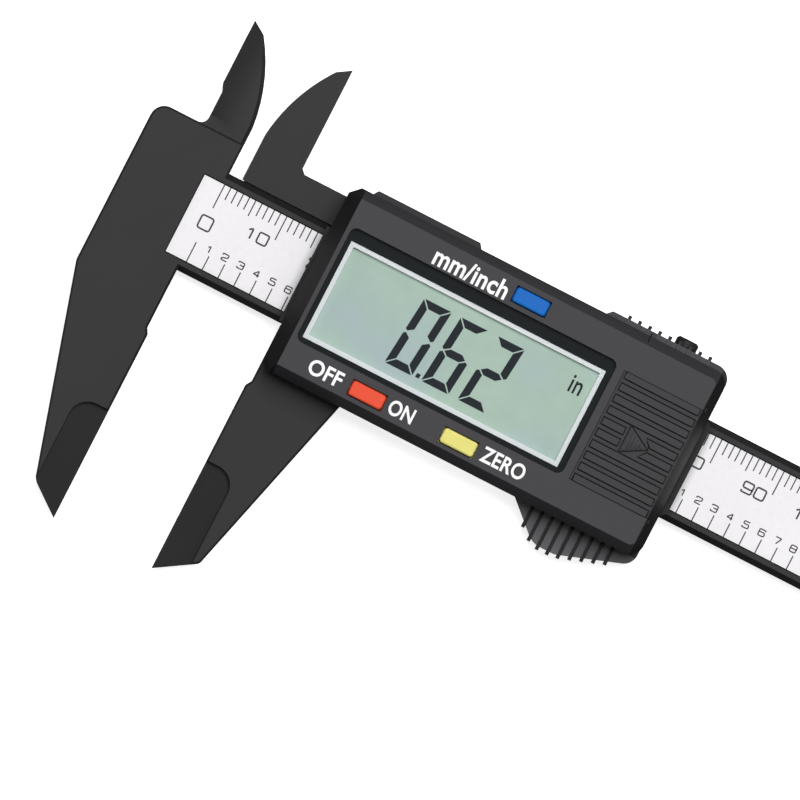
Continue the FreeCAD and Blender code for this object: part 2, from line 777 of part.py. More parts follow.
def build_thumb_grip(body):
    inner = "slider_corner - rail_outer"
    end = ("frame_right", "-slider_half - grip_end_depth")
    pad(body, "thumb_grip", [[
        ("grip_left", inner), ("grip_left", "-rail_outer"), ("crest_left", "crest_level"),
        ("crest_right", "crest_level"), end, ("frame_right", inner),
    ]], "grip_back", "rail_front - grip_front_drop - grip_back")
    fillet(body, "grip_rounding", upright_at([("crest_left", "crest_level"), ("crest_right", "crest_level")]),
           "grip_round")
    fillet(body, "grip_end_round", upright_at([end]), "slider_corner")
    pad(body, "thumb_ribs", [rib_box(place, "-slider_half - rib_height - " + grip_reach(place), inner)
                             for place in rib_places()], "grip_back - rib_lift",
        "rail_front - grip_back + rib_lift")


def build_back_cover():
    body = new_body("back_cover")
    inset = "back_cover_inset + fit_gap"
    pad(body, "plate", [box("slider_left + " + inset, "%s - slider_half" % inset,
                            "slider_right - (%s)" % inset, "slider_half - (%s)" % inset)],
        "0", "back_cover_thickness - back_cover_gap")
    cut(body, "head_sinks", rounds(CASE_SCREWS, "screw_head_radius + screw_clearance"),
        "screw_head_front", "screw_head_front")
    cut(body, "screw_holes", rounds(CASE_SCREWS, "screw_radius + screw_clearance"),
        "back_cover_thickness", "back_cover_thickness")


def build_front_cover():
    body = new_body("front_cover")
    plan = rounded_plan("slider_left", "slider_right", "slider_half")
    pad(body, "shell", [plan], "rail_front", "case_height - slider_bevel_height")
    pad(body, "shell_bevel", [plan], "case_front - slider_bevel_height", "slider_bevel_height",
        taper="-atan(slider_bevel / slider_bevel_height)")
    # the end towards the jaws slopes more gently than the other three sides
    share = "slider_bevel_height * cut_over / end_bevel"
    above = "case_front + " + share
    cut(body, "end_bevel", [[
        ("slider_left - cut_over", "case_front - slider_bevel_height - " + share),
        ("slider_left + end_bevel + cut_over", above), ("slider_left - cut_over", above),
    ]], "slider_half + cut_over", "slider_width + 2 * cut_over", "XZ_Plane")
    end = ("slider_right", "slider_half + top_grip_rise")
    pad(body, "top_grip", [[
        ("grip_left", "slider_half - grip_root"), ("slider_right - grip_root", "slider_half - grip_root"),
        ("slider_right", "slider_half - slider_corner"), end,
        ("grip_left + top_grip_rise", "slider_half + top_grip_rise"), ("grip_left", "slider_half"),
    ]], "rail_front", "top_grip_height")
    fillet(body, "top_grip_end", upright_at([end]), "slider_corner")
    pad(body, "top_ribs", [rib_box(place, "slider_half - grip_root / 2",
                                   "slider_half + top_grip_rise + rib_height")
                           for place in rib_places()], "rail_front + rib_lift", "top_grip_height")
    low = "collar_side - beam_half"
    top = "beam_half - collar_side"
    collar_end = "slider_right + collar_length"
    pad(body, "rear_collar", [box("slider_right - slider_wall", low, collar_end, top)],
        "rail_front", "collar_height")
    chamfer(body, "collar_bevel", upright_at([(collar_end, low), (collar_end, top)]), "collar_bevel")
    pad(body, "front_collar", [box("jaw_opening + front_collar_gap", low, "slider_left + slider_wall", top)],
        "rail_front", "collar_height")
    cut(body, "inside", [box("slider_left + slider_wall", "slider_wall - slider_half", "deck_left",
                             "slider_half - slider_wall")],
        "case_inside", "case_inside - rail_front")
    cut(body, "battery_side", [box("deck_left - slider_wall", "slider_wall - slider_half",
                                   "slider_right - slider_wall", "slider_half - slider_wall")],
        "deck_back", "deck_back - rail_front")
    for across, roof in (("screw_left", "case_inside"), ("screw_right", "deck_back")):
        pad(body, "boss_" + across, rounds(four_corners((across,), "case_screw_y"), "boss_radius"),
            "rail_front", roof + " - rail_front + boss_root")
    cut(body, "boss_holes", rounds(CASE_SCREWS, "screw_radius + fit_gap"),
        "rail_front + screw_reach + screw_room", "screw_reach + screw_room")
    build_cover_openings(body)


def build_cover_openings(body):
    corners = [(x, y) for x in ("recess_left", "recess_right") for y in ("recess_low", "recess_top")]
    cut(body, "display_recess", [box("recess_left", "recess_low", "recess_right", "recess_top")],
        "case_front", "recess_depth")
    fillet(body, "recess_corners", upright_at(corners), "recess_corner")
    cut(body, "display_opening", [box("bezel_left - fit_gap", "bezel_low - fit_gap", "bezel_right + fit_gap",
                                      "bezel_top + fit_gap")], "recess_floor", "recess_floor - case_inside")
    cut(body, "button_holes", [around(spot, "button_length + 2 * button_gap",
                                      "button_width + 2 * button_gap") for spot in BUTTONS.values()],
        "case_front", "case_top")
    cut(body, "cover_way", [box("cover_left - cover_gap", "cover_low - cover_gap", "slider_right + cut_over",
                                "cover_top + cover_gap")], "case_front", "cover_thickness")
    cut(body, "tongue_ways", [box("cover_left - cover_gap", "cover_low - tongue_width - cover_gap",
                                  "slider_right + cut_over", "cover_top + tongue_width + cover_gap")],
        "cover_back + tongue_height + cover_gap", "tongue_height + cover_gap")
    cut(body, "battery_hole", rounds([("battery_mid_x", "battery_y")], "battery_width / 2 + battery_gap"),
        "cover_back", "battery_deck")
    cut(body, "seam", [box("seam_left", "slider_half - seam_depth", "seam_left + seam_width",
                           "slider_half + top_grip_rise + cut_over")],
        "case_front", "case_height - rib_lift")


def build_display():
    body = new_body("display_window")
    sides = ("recess_left + fit_gap", "recess_right - fit_gap")
    ends = ("recess_low + fit_gap", "recess_top - fit_gap")
    pad(body, "window", [box(sides[0], ends[0], sides[1], ends[1])], "recess_floor", "window_thickness")
    fillet(body, "window_corners", upright_at([(x, y) for x in sides for y in ends]), "recess_corner")
    body = new_body("lcd_frame")
    pad(body, "ring", [box("bezel_left", "bezel_low", "bezel_right", "bezel_top"),
                       box("bezel_left + bezel_rim", "bezel_low + bezel_rim", "bezel_right - bezel_rim",
                           "bezel_top - bezel_rim")], "glass_front", "bezel_thickness")
    body = new_body("lcd_glass")
    pad(body, "glass", [box("bezel_left - glass_lip", "bezel_low - glass_lip", "bezel_right + glass_lip",
                            "bezel_top + glass_lip")], "glass_back", "glass_thickness")
    body = new_body("zebra_strips")
    pad(body, "strips", [
        box("bezel_left + strip_inset", "bezel_low", "bezel_right - strip_inset", "bezel_low + strip_width"),
        box("bezel_left + strip_inset", "bezel_top - strip_width", "bezel_right - strip_inset", "bezel_top"),
    ], "board_front", "glass_back - board_front")


def build_button(name, spot):
    body = new_body(name)
    cap = around(spot, "button_length", "button_width")
    pad(body, "flange", [around(spot, "button_length + 2 * button_flange",
                                "button_width + 2 * button_flange")], "flange_back", "button_flange_height")
    pad(body, "cap", [cap], "flange_back", "case_front + button_rise - flange_back")
    fillet(body, "cap_corners", upright_at(cap), "button_corner")
    chamfer(body, "cap_edge", at_level("case_front + button_rise"), "button_edge")
    pad(body, "stem", [around(spot, "stem_length", "stem_width")], "stem_back", "flange_front - stem_back")


def build_electronics():
    body = new_body("main_board")
    pad(body, "board", [box("board_left", "-board_half", "board_right", "board_half")],
        "rail_front", "board_thickness")
    cut(body, "boss_clearances", rounds(CASE_SCREWS, "boss_radius + board_boss_gap"),
        "board_front", "board_thickness")
    cut(body, "screw_holes", rounds(BOARD_SCREWS, "board_screw_radius + fit_gap"),
        "board_front", "board_thickness")
    body = new_body("controller_chip")
    outline = new_sketch(body, "dome_outline", [[
        ("0", "board_front"), ("chip_radius", "board_front"),
        ("chip_radius - chip_shoulder", "board_front + chip_height / 2"),
        ("chip_flat", "board_front + chip_height"), ("0", "board_front + chip_height"),
    ]], "battery_y", "XZ_Plane")
    dome = body.newObject("PartDesign::Revolution", "dome")
    dome.Profile = outline
    dome.ReferenceAxis = (outline, ["V_Axis"])
    dome.Angle = 360
    bind(body, "Placement.Base.x", "origin_x + recess_left + chip_x")
    body = new_body("board_capacitors")
    spots = [("recess_left + capacitor_x + %d * capacitor_pitch" % number, "capacitor_y")
             for number in range(3)]
    pad(body, "capacitors", [around(spot, "capacitor_width", "capacitor_length") for spot in spots],
        "board_front", "capacitor_width")
    body = new_body("push_switches")
    pad(body, "housings", [around(spot, "switch_size", "switch_size") for spot in BUTTONS.values()],
        "board_front", "switch_height")
    pad(body, "plungers", rounds(BUTTONS.values(), "plunger_radius"), "switch_front", "plunger_height")
    body = new_body("board_screws")
    pad(body, "shanks", rounds(BOARD_SCREWS, "board_screw_radius"), "rail_front - board_screw_depth",
        "board_thickness + board_screw_depth")
    pad(body, "heads", rounds(BOARD_SCREWS, "board_screw_head"), "board_front", "board_screw_head_height")
    cut(body, "slots", slots(BOARD_SCREWS, "board_screw_head", "slot_width"),
        "board_front + board_screw_head_height", "slot_depth")


def build_battery():
    spot = [("battery_mid_x", "battery_y")]
    body = new_body("battery")
    pad(body, "cup", rounds(spot, "battery_width / 2"), "battery_back + battery_cap_height",
        "battery_height - battery_cap_height")
    chamfer(body, "cup_edge", at_level("battery_back + battery_height"), "battery_edge")
    pad(body, "cap", rounds(spot, "battery_width / 2 - battery_cap_inset"), "battery_back",
        "battery_cap_height")
    body = new_body("battery_contact_negative")
    pad(body, "foot", [around(("battery_mid_x - contact_width", "battery_y"), "2 * contact_foot",
                              "contact_width")], "board_front", "contact_thickness")
    pad(body, "tongue", [around(("battery_mid_x - contact_foot", "battery_y"), "contact_foot",
                                "contact_width")], "board_front", "battery_back - board_front")
    body = new_body("battery_contact_positive")
    low = "battery_y - contact_width / 2"
    top = "battery_y + contact_width / 2"
    pad(body, "upright", [box("battery_side - contact_gap - contact_thickness", low,
                              "battery_side - contact_gap", top)],
        "board_front", "deck_back - board_front - contact_gap")
    pad(body, "foot", [box("battery_side - contact_gap - contact_foot", low, "battery_side - contact_gap",
                           top)], "board_front", "contact_thickness")


def cover_ribs(grow):
    """Outlines of the raised ribs of the battery cover, grown by so much on every side."""
    ribs = []
    left = "cover_left + cover_rib_start - (%s)" % grow
    right = "cover_right - cover_rib_end + (%s)" % grow
    half = "(cover_rib_width / 2 + (%s))" % grow
    for number in range(10):
        row = "(cover_top - cover_rib_margin / 2 - %d * row_pitch)" % number
        low = row + " - " + half
        top = row + " + " + half
        if number not in (4, 5):
            ribs.append(box(left, low, right, top))
            continue
        # the two middle ribs stop for the arrow and go on with a slanted end
        ribs.append(box(left, low, "cover_left + cover_rib_break + (%s)" % grow, top))
        start = "cover_left + cover_rib_resume - (%s)" % grow
        cut_back = start + " + cover_rib_width"
        near, far = (cut_back, start) if number == 4 else (start, cut_back)
        ribs.append([(near, low), (right, low), (right, top), (far, top)])
    return ribs


def arrow(grow):
    """Triangle that shows which way the cover slides, grown by so much."""
    left = "cover_left + arrow_start - (%s)" % grow
    half = "(arrow_width / 2 + 1.6 * (%s))" % grow
    return [(left, "battery_y - " + half), (left + " + arrow_length + 3 * (%s)" % grow, "battery_y"),
            (left, "battery_y + " + half)]


def arrow_bars():
    bars = []
    for number in range(5):
        start = "(arrow_bar / 2 + %d * arrow_pitch)" % number
        end = "(%s + arrow_bar)" % start
        taper = "(arrow_width / 2 * (1 - %s / arrow_length) - arrow_bar / 2)"
        near, far = taper % start, taper % end
        left = "cover_left + arrow_start + " + start
        right = "cover_left + arrow_start + " + end
        bars.append([(left, "battery_y - " + near), (right, "battery_y - " + far),
                     (right, "battery_y + " + far), (left, "battery_y + " + near)])
    return bars


def build_battery_cover():
    body = new_body("battery_cover")
    # the end of the cover follows the bevel of the housing
    pad(body, "plate", [[
        ("cover_left", "cover_back"),
        ("cover_right + slider_bevel * cover_thickness / slider_bevel_height", "cover_back"),
        ("cover_right", "case_front"), ("cover_left", "case_front"),
    ]], "-battery_y", "cover_width", "XZ_Plane", True)
    pad(body, "tongues", [box("cover_left", "cover_low - tongue_width", "slider_right - slider_wall",
                              "cover_top + tongue_width")], "cover_back", "tongue_height")
    for number, (outer, inner) in enumerate(zip(cover_ribs("groove_width"), cover_ribs("0"))):
        cut(body, "rib_groove_%d" % number, [outer, inner], "case_front", "groove_depth")
    cut(body, "arrow_groove", [arrow("groove_width"), arrow("0")], "case_front", "groove_depth")
    pad(body, "ribs", cover_ribs("0"), "case_front", "cover_rib_height")
    pad(body, "arrow_hatch", arrow_bars(), "case_front", "cover_rib_height")


def build_depth_rod():
    rod_screw = [("rod_screw_x", "0")]
    body = new_body("depth_rod")
    pad(body, "rod", [[
        ("rod_left", "-rod_width / 2"), ("rod_end", "-rod_width / 2"),
        ("rod_end", "rod_tip_width - rod_width / 2"),
        ("rod_end - rod_tip_length", "rod_tip_width - rod_width / 2"),
        ("rod_end - rod_tip_length - rod_tip_slope", "rod_width / 2"), ("rod_left", "rod_width / 2"),
    ]], "rod_back", "rod_thickness")
    cut(body, "screw_hole", rounds(rod_screw, "rod_screw_radius + fit_gap"), "rod_front", "rod_thickness")
    body = new_body("depth_rod_screw")
    pad(body, "head", rounds(rod_screw, "rod_screw_head"), "web_back + fit_gap", "rod_screw_head_height")
    pad(body, "shank", rounds(rod_screw, "rod_screw_radius"), "rod_head_front",
        "rod_front - rod_gap - rod_head_front")
    cut(body, "slot", slots(rod_screw, "rod_screw_head", "slot_width"),
        "web_back + fit_gap + slot_depth", "slot_depth")


def build_case_screws():
    body = new_body("case_screws")
    pad(body, "heads", rounds(CASE_SCREWS, "screw_head_radius"), "screw_head_sink", "screw_head_height")
    pad(body, "shanks", rounds(CASE_SCREWS, "screw_radius"), "screw_head_front",
        "rail_front + screw_reach - screw_head_front")
    half = "screw_head_radius * 0.6"
    cut(body, "slots_along", slots(CASE_SCREWS, half, "slot_width"), "screw_head_sink + slot_depth",
        "slot_depth")
    cut(body, "slots_across", [around(spot, "slot_width", "2 * " + half) for spot in CASE_SCREWS],
        "screw_head_sink + slot_depth", "slot_depth")


def build_lock():
    centre = ("circle", "lock_mid_x", "lock_mid_z")
    body = new_body("lock_screw")
    pad(body, "knob", [centre + ("lock_knob_radius",)], "-knob_end", "lock_knob_length", "XZ_Plane")
    end = value("knob_end")
    chamfer(body, "knob_edge", lambda first, last: abs(first.y - end) < 1e-4 and abs(last.y - end) < 1e-4,
            "lock_knob_edge")
    pad(body, "shank", [centre + ("lock_shank_radius",)], "-knob_start",
        "knob_start - lock_pad_low - lock_pad_length", "XZ_Plane")
    cut(body, "slot", slots([("lock_mid_x", "lock_mid_z")], "lock_knob_radius + fit_gap", "lock_slot_width"),
        "lock_slot_depth - knob_end", "lock_slot_depth", "XZ_Plane")
    body = new_body("lock_pad")
    pad(body, "pad", [centre + ("lock_shank_radius",)], "-lock_pad_low - lock_pad_length", "lock_pad_length",
        "XZ_Plane")


def check_and_write():
    """Stops at any failed object or unsound solid, then writes one STEP file for each sub-part."""
    doc.recompute()
    for item in doc.Objects:
        if "Invalid" in item.State or "Error" in item.State:
            raise ValueError(item.Name + " failed")
    os.makedirs("parts", exist_ok=True)
    for item in doc.Objects:
        if item.TypeId != "PartDesign::Body":
            continue
        shape = item.Shape
        if shape.isNull() or not shape.isValid():
            raise ValueError(item.Label + " is not a sound solid")
        shape.exportStep("parts/%s.step" % item.Label)
        print("%-26s solids %d volume %.1f" % (item.Label, len(shape.Solids), shape.Volume))


fill_sheet()
build_beam()
build_beam_fittings()
build_frame()
build_back_cover()
build_front_cover()
build_display()
for button_name, button_spot in BUTTONS.items():
    build_button(button_name, button_spot)
build_electronics()
build_battery()
build_battery_cover()
build_depth_rod()
build_case_screws()
build_lock()
check_and_write()
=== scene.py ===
import math

import bmesh
import bpy
from mathutils import Matrix, Vector


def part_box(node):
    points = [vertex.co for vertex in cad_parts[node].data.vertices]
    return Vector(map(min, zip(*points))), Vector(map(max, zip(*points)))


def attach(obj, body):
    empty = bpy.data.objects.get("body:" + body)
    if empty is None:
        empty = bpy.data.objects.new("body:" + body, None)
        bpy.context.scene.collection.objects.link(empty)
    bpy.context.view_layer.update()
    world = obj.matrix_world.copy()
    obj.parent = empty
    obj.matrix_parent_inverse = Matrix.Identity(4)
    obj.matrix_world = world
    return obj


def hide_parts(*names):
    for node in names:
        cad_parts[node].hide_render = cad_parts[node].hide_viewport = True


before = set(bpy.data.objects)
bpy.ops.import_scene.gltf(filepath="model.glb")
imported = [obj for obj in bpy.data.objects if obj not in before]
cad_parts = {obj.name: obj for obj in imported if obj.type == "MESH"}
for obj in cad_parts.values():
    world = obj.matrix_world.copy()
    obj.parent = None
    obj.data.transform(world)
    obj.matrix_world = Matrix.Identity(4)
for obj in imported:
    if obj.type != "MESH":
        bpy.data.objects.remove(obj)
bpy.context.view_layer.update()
print("frame loaded")

mm = 0.001
labelLow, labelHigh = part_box("scale_label")
bezelLow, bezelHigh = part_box("lcd_frame")
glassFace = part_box("lcd_glass")[1].z
shellLow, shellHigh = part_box("front_cover")

# sizes below are in millimetres from the fixed measuring face and the middle of the beam
labelMargin = 3.2
datumX = labelLow.x + labelMargin * mm
datumY = (labelLow.y + labelHigh.y) / 2
labelFace = labelHigh.z
faceLevel = shellHigh.z
ribTop = shellLow.z
windowLow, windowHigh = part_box("display_window")


def spot(x, y, z=0.0):
    return Vector((datumX + x * mm, datumY + y * mm, z))


class Wire:
    def __init__(self, graph, socket):
        self.graph = graph
        self.socket = socket

    def maths(self, operation, first, second):
        return self.graph.node("ShaderNodeMath", {"operation": operation}, {0: first, 1: second})

    def __add__(self, other):
        return self.maths("ADD", self, other)

    def __mul__(self, other):
        return self.maths("MULTIPLY", self, other)

    def __sub__(self, other):
        return self.maths("SUBTRACT", self, other)

    def __gt__(self, other):
        return self.maths("GREATER_THAN", self, other)

    def __lt__(self, other):
        return self.maths("LESS_THAN", self, other)


class Graph:
    def __init__(self, name):
        self.material = bpy.data.materials.new(name)
        self.material.use_nodes = True
        self.tree = self.material.node_tree
        self.shader = self.tree.nodes["Principled BSDF"]

    def node(self, kind, settings=None, sockets=None, out=0):
        made = self.tree.nodes.new(kind)
        for key, setting in (settings or {}).items():
            setattr(made, key, setting)
        for key, given in (sockets or {}).items():
            self.feed(made.inputs[key], given)
        return Wire(self, made.outputs[out])

    def feed(self, socket, given):
        if isinstance(given, Wire):
            self.tree.links.new(given.socket, socket)
        else:
            socket.default_value = given

    def place(self):
        return self.node("ShaderNodeTexCoord", out=3)

    def axes(self):
        # distances along the beam, across it and up, in metres
        split = self.node("ShaderNodeSeparateXYZ", {}, {0: self.place()}).socket.node
        return [Wire(self, socket) for socket in split.outputs]

    def noise(self, scale, detail=4.0, roughness=0.55, where=None):
        return self.node("ShaderNodeTexNoise", {}, {
            "Vector": where or self.place(), "Scale": scale, "Detail": detail, "Roughness": roughness})

    def mix(self, amount, first, second):
        return self.node("ShaderNodeMix", {"data_type": "RGBA"}, {0: amount, 6: first, 7: second}, out=2)

    def bump(self, height, distance, strength):
        return self.node("ShaderNodeBump", {}, {"Height": height, "Distance": distance, "Strength": strength})

    def set(self, **sockets):
        for key, given in sockets.items():
            self.feed(self.shader.inputs[key.replace("_", " ")], given)
        return self.material


def colour(red, green, blue):
    # screen values of 0 to 255, turned into linear light
    def linear(value):
        value /= 255
        return value / 12.92 if value <= 0.04045 else ((value + 0.055) / 1.055) ** 2.4
    return (linear(red), linear(green), linear(blue), 1.0)


def mouldedPlastic(name, look):
    graph = Graph(name)
    grain = graph.noise(look["grain"], 3.0)
    cloud = graph.noise(look["cloud"], 5.0, 0.6)
    base = graph.mix(cloud * look["cloudAmount"] + (1 - look["cloudAmount"]) * 0.5,
                     look["dark"], look["light"])
    # an optional step that paints shade, sheen and tint into the base colour
    if "shadeAndTint" in look:
        base = look["shadeAndTint"](graph, base, cloud)
    return graph.set(
        Base_Color=base,
        Roughness=cloud * look["roughSpread"] + look["rough"],
        Specular_IOR_Level=look["gloss"],
        Normal=graph.bump(grain, look["relief"], look["strength"]))


# painted shade: the colour and depth of the near black painted into the grooves of the battery cover
coverShadePatch = {"grooveDepth": 0.06 * mm, "grooveShade": colour(14, 14, 15)}


def blackGrooves(graph, base, cloud):
    # whatever lies below the face of the battery cover is painted near black, a painted shade in the grooves
    along, across, height = graph.axes()
    return graph.mix(height > faceLevel - coverShadePatch["grooveDepth"], coverShadePatch["grooveShade"], base)


# painted shade on the ribs and a painted sheen on the floor between them, for the thumb grip
gripSheenPatch = {
    "floorLow": 0.4 * mm, "floorHigh": 0.15 * mm,  # the floor's depth below the tops of the ribs
    "ribShade": colour(13, 13, 14), "sheenDark": colour(70, 69, 72), "sheenLight": colour(96, 95, 98),
}


def thumbFloor(graph, base, cloud):
    # the ribs of the thumb grip are painted black as painted shade, and the floor between them is painted a
    # lighter grey as a painted sheen
    along, across, height = graph.axes()
    onGrip = (along > (shellLow.x + shellHigh.x) / 2) * (shellLow.y > across)
    floorLow, floorHigh = ribTop - gripSheenPatch["floorLow"], ribTop - gripSheenPatch["floorHigh"]
    floor = onGrip * (height > floorLow) * (floorHigh > height)
    shadedRibs = graph.mix(onGrip * (height > floorHigh), base, gripSheenPatch["ribShade"])
    return graph.mix(floor, shadedRibs, graph.mix(cloud, gripSheenPatch["sheenDark"], gripSheenPatch["sheenLight"]))


# painted shade for the recess round the window, the sloping ends and the top ribs of the housing
housingShadePatch = {
    "recessRoom": 1.6 * mm, "recessLow": 1.1 * mm, "recessHigh": 0.12 * mm,
    "endSlope": 18.42, "farSlope": 75.6, "topRibs": 0.5 * mm,
    "recessShade": colour(20, 23, 23), "end": colour(26, 26, 27), "far": colour(20, 20, 21),
    "ribShade": colour(14, 14, 15),
}


def darkRecess(graph, base, cloud):
    # painted shade: the sunk floor round the window, both sloping ends and the top ribs are painted blacker
    # than the face
    look = housingShadePatch
    along, across, height = graph.axes()
    front = height > ribTop
    low, high = windowLow, windowHigh
    alongRecess = (along > low.x - look["recessRoom"]) * (high.x + look["recessRoom"] > along)
    acrossRecess = (across > low.y - look["recessRoom"]) * (high.y + look["recessRoom"] > across)
    level = (faceLevel - look["recessHigh"] > height) * (height > faceLevel - look["recessLow"])
    recessShade = graph.mix(alongRecess * acrossRecess * level, base, look["recessShade"])
    nearEnd = graph.mix(front * (spot(look["endSlope"], 0).x > along), recessShade, look["end"])
    farEnd = graph.mix(front * (along > spot(look["farSlope"], 0).x), nearEnd, look["far"])
    return graph.mix(front * (across > shellHigh.y - look["topRibs"]), farEnd, look["ribShade"])


tipPatch = {
    "start": -30.0, "low": 0.95 * mm, "high": 0.2 * mm,
    "dark": colour(8, 8, 8), "light": colour(16, 15, 16),
}


def groundFaces(graph, base, cloud):
    # the measuring tips are ground smooth and look blacker than the moulded jaws
    along, across, height = graph.axes()
    level = (labelFace - tipPatch["high"] > height) * (height > labelFace - tipPatch["low"])
    ground = (spot(0, tipPatch["start"]).y > across) * level
    return graph.mix(ground, base, graph.mix(cloud, tipPatch["dark"], tipPatch["light"]))


def framePatches(graph, base, cloud):
    return groundFaces(graph, thumbFloor(graph, base, cloud), cloud)


# the grain of each kind of mould, shared by the plastics made in it
housingMould = {"cloud": 55.0, "cloudAmount": 0.8, "grain": 2200.0, "relief": 0.00003, "strength": 0.4,
                "rough": 0.44, "roughSpread": 0.14, "gloss": 0.19}
jawMould = {"cloud": 45.0, "cloudAmount": 0.9, "grain": 2600.0, "relief": 0.00002, "strength": 0.35,
            "rough": 0.42, "roughSpread": 0.16, "gloss": 0.19}
keyMould = {"cloud": 240.0, "cloudAmount": 0.8, "grain": 1500.0, "relief": 0.00001, "strength": 0.3,
            "rough": 0.4, "roughSpread": 0.1, "gloss": 0.12}
plastics = {
    "coverPlastic": {**housingMould, "dark": colour(45, 44, 46), "light": colour(57, 56, 59),
                     "shadeAndTint": blackGrooves},
    "framePlastic": {**jawMould, "dark": colour(33, 33, 33), "light": colour(42, 41, 42),
                     "shadeAndTint": framePatches},
    "jawComposite": {**jawMould, "dark": colour(33, 33, 33), "light": colour(42, 41, 42),
                     "shadeAndTint": groundFaces},
    "housingPlastic": {**housingMould, "dark": colour(51, 50, 53), "light": colour(63, 62, 66),
                       "shadeAndTint": darkRecess},
    "whiteBezel": {**keyMould, "dark": colour(222, 228, 230), "light": colour(240, 245, 246), "cloud": 90.0,
                   "strength": 0.2},
    "blueKey": {**keyMould, "dark": colour(12, 94, 178), "light": colour(22, 110, 198)},
    "redKey": {**keyMould, "dark": colour(222, 72, 47), "light": colour(238, 90, 61)},
    "yellowKey": {**keyMould, "dark": colour(219, 212, 116), "light": colour(233, 226, 132)},
}
materials = {name: mouldedPlastic(name, look) for name, look in plastics.items()}


def labelFilm():
    graph = Graph("labelFilm")
    fleck = graph.noise(1400.0, 2.0, 0.7)
    cloud = graph.noise(60.0, 3.0)
    shade = fleck * 0.5 + cloud * 0.5
    return graph.set(
        Base_Color=graph.mix(shade, colour(228, 226, 228), colour(248, 246, 249)),
        Roughness=cloud * 0.2 + 0.4, Specular_IOR_Level=0.1,
        Normal=graph.bump(fleck, 0.00001, 0.3))


def liquidCrystal():
    graph = Graph("liquidCrystal")
    patch = graph.noise(95.0, 2.0, 0.4)
    fine = graph.noise(420.0, 3.0)
    green = graph.mix(fine, colour(169, 194, 180), colour(186, 209, 194))
    return graph.set(
        Base_Color=graph.mix((patch - 0.42) * 2.2, green, colour(176, 194, 200)),
        Roughness=fine * 0.08 + 0.3, Specular_IOR_Level=0.1)


def ink(name, dark, light, rough=0.5, gloss=0.5):
    graph = Graph(name)
    fleck = graph.noise(2400.0, 2.0)
    return graph.set(Base_Color=graph.mix(fleck, dark, light), Roughness=fleck * 0.1 + rough,
                     Specular_IOR_Level=gloss)


def clearWindow():
    graph = Graph("clearWindow")
    smear = graph.noise(160.0, 3.0)
    return graph.set(Base_Color=(0.05, 0.055, 0.055, 1.0), Roughness=smear * 0.05 + 0.04,
                     IOR=1.49, Alpha=0.05)


def metal(name, dark, light, rough):
    graph = Graph(name)
    stretch = graph.node("ShaderNodeMapping", {}, {"Vector": graph.place(), "Scale": (0.05, 1.0, 1.0)})
    streak = graph.noise(900.0, 4.0, 0.6, stretch)
    return graph.set(Base_Color=graph.mix(streak, dark, light), Metallic=1.0,
                     Roughness=streak * 0.2 + rough, Normal=graph.bump(streak, 0.00001, 0.3))


def circuitBoard():
    graph = Graph("circuitBoard")
    weave = graph.node("ShaderNodeTexBrick", {}, {
        "Vector": graph.place(), "Scale": 900.0, "Color1": colour(14, 92, 44), "Color2": colour(20, 104, 52),
        "Mortar": colour(10, 76, 36)})
    return graph.set(Base_Color=weave, Roughness=graph.noise(300.0) * 0.2 + 0.3)


materials.update({
    "labelFilm": labelFilm(),
    "liquidCrystal": liquidCrystal(),
    "scaleInk": ink("scaleInk", colour(30, 30, 32), colour(52, 52, 54)),
    "segmentInk": ink("segmentInk", colour(22, 28, 36), colour(30, 38, 46), 0.55, 0.15),
    "borderInk": ink("borderInk", colour(26, 29, 30), colour(36, 39, 40), 0.55, 0.03),
    "legendInk": ink("legendInk", colour(240, 240, 240), colour(252, 252, 252)),
    "clearWindow": clearWindow(),
    "screwSteel": metal("screwSteel", colour(120, 120, 122), colour(190, 190, 192), 0.3),
    "cellNickel": metal("cellNickel", colour(170, 170, 166), colour(214, 214, 210), 0.22),
    "springStrip": metal("springStrip", colour(180, 174, 160), colour(210, 204, 190), 0.25),
    "turnedBrass": metal("turnedBrass", colour(170, 130, 60), colour(214, 176, 96), 0.3),
    "circuitBoard": circuitBoard(),
    "blackEpoxy": ink("blackEpoxy", colour(18, 18, 20), colour(28, 28, 30), 0.15),
    "stripRubber": ink("stripRubber", colour(40, 40, 42), colour(190, 150, 160), 0.8),
    "capacitorCeramic": ink("capacitorCeramic", colour(150, 110, 70), colour(176, 134, 90), 0.6),
    "switchBlack": ink("switchBlack", colour(24, 24, 26), colour(36, 36, 38), 0.5),
})
print("materials made")


def finished(name, mesh, material, body, replaced=()):
    piece = bpy.data.objects.new(name, mesh)
    bpy.context.scene.collection.objects.link(piece)
    mesh.materials.clear()
    mesh.materials.append(materials[material])
    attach(piece, body)
    if replaced:
        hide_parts(*replaced)
    return piece


def baked(source, name):
    # the evaluated object as a plain mesh, with its place in its vertices
    bpy.context.view_layer.update()
    graph = bpy.context.evaluated_depsgraph_get()
    mesh = bpy.data.meshes.new_from_object(source.evaluated_get(graph))
    mesh.transform(source.matrix_world)
    mesh.name = name
    bpy.data.objects.remove(source)
    return mesh


def prism(work, outline, low, high):
    # closed block on a counterclockwise outline
    base = [work.verts.new((x, y, low)) for x, y in outline]
    top = [work.verts.new((x, y, high)) for x, y in outline]
    work.faces.new(list(reversed(base)))
    work.faces.new(top)
    for index in range(len(outline)):
        after = (index + 1) % len(outline)
        work.faces.new((base[index], base[after], top[after], top[index]))


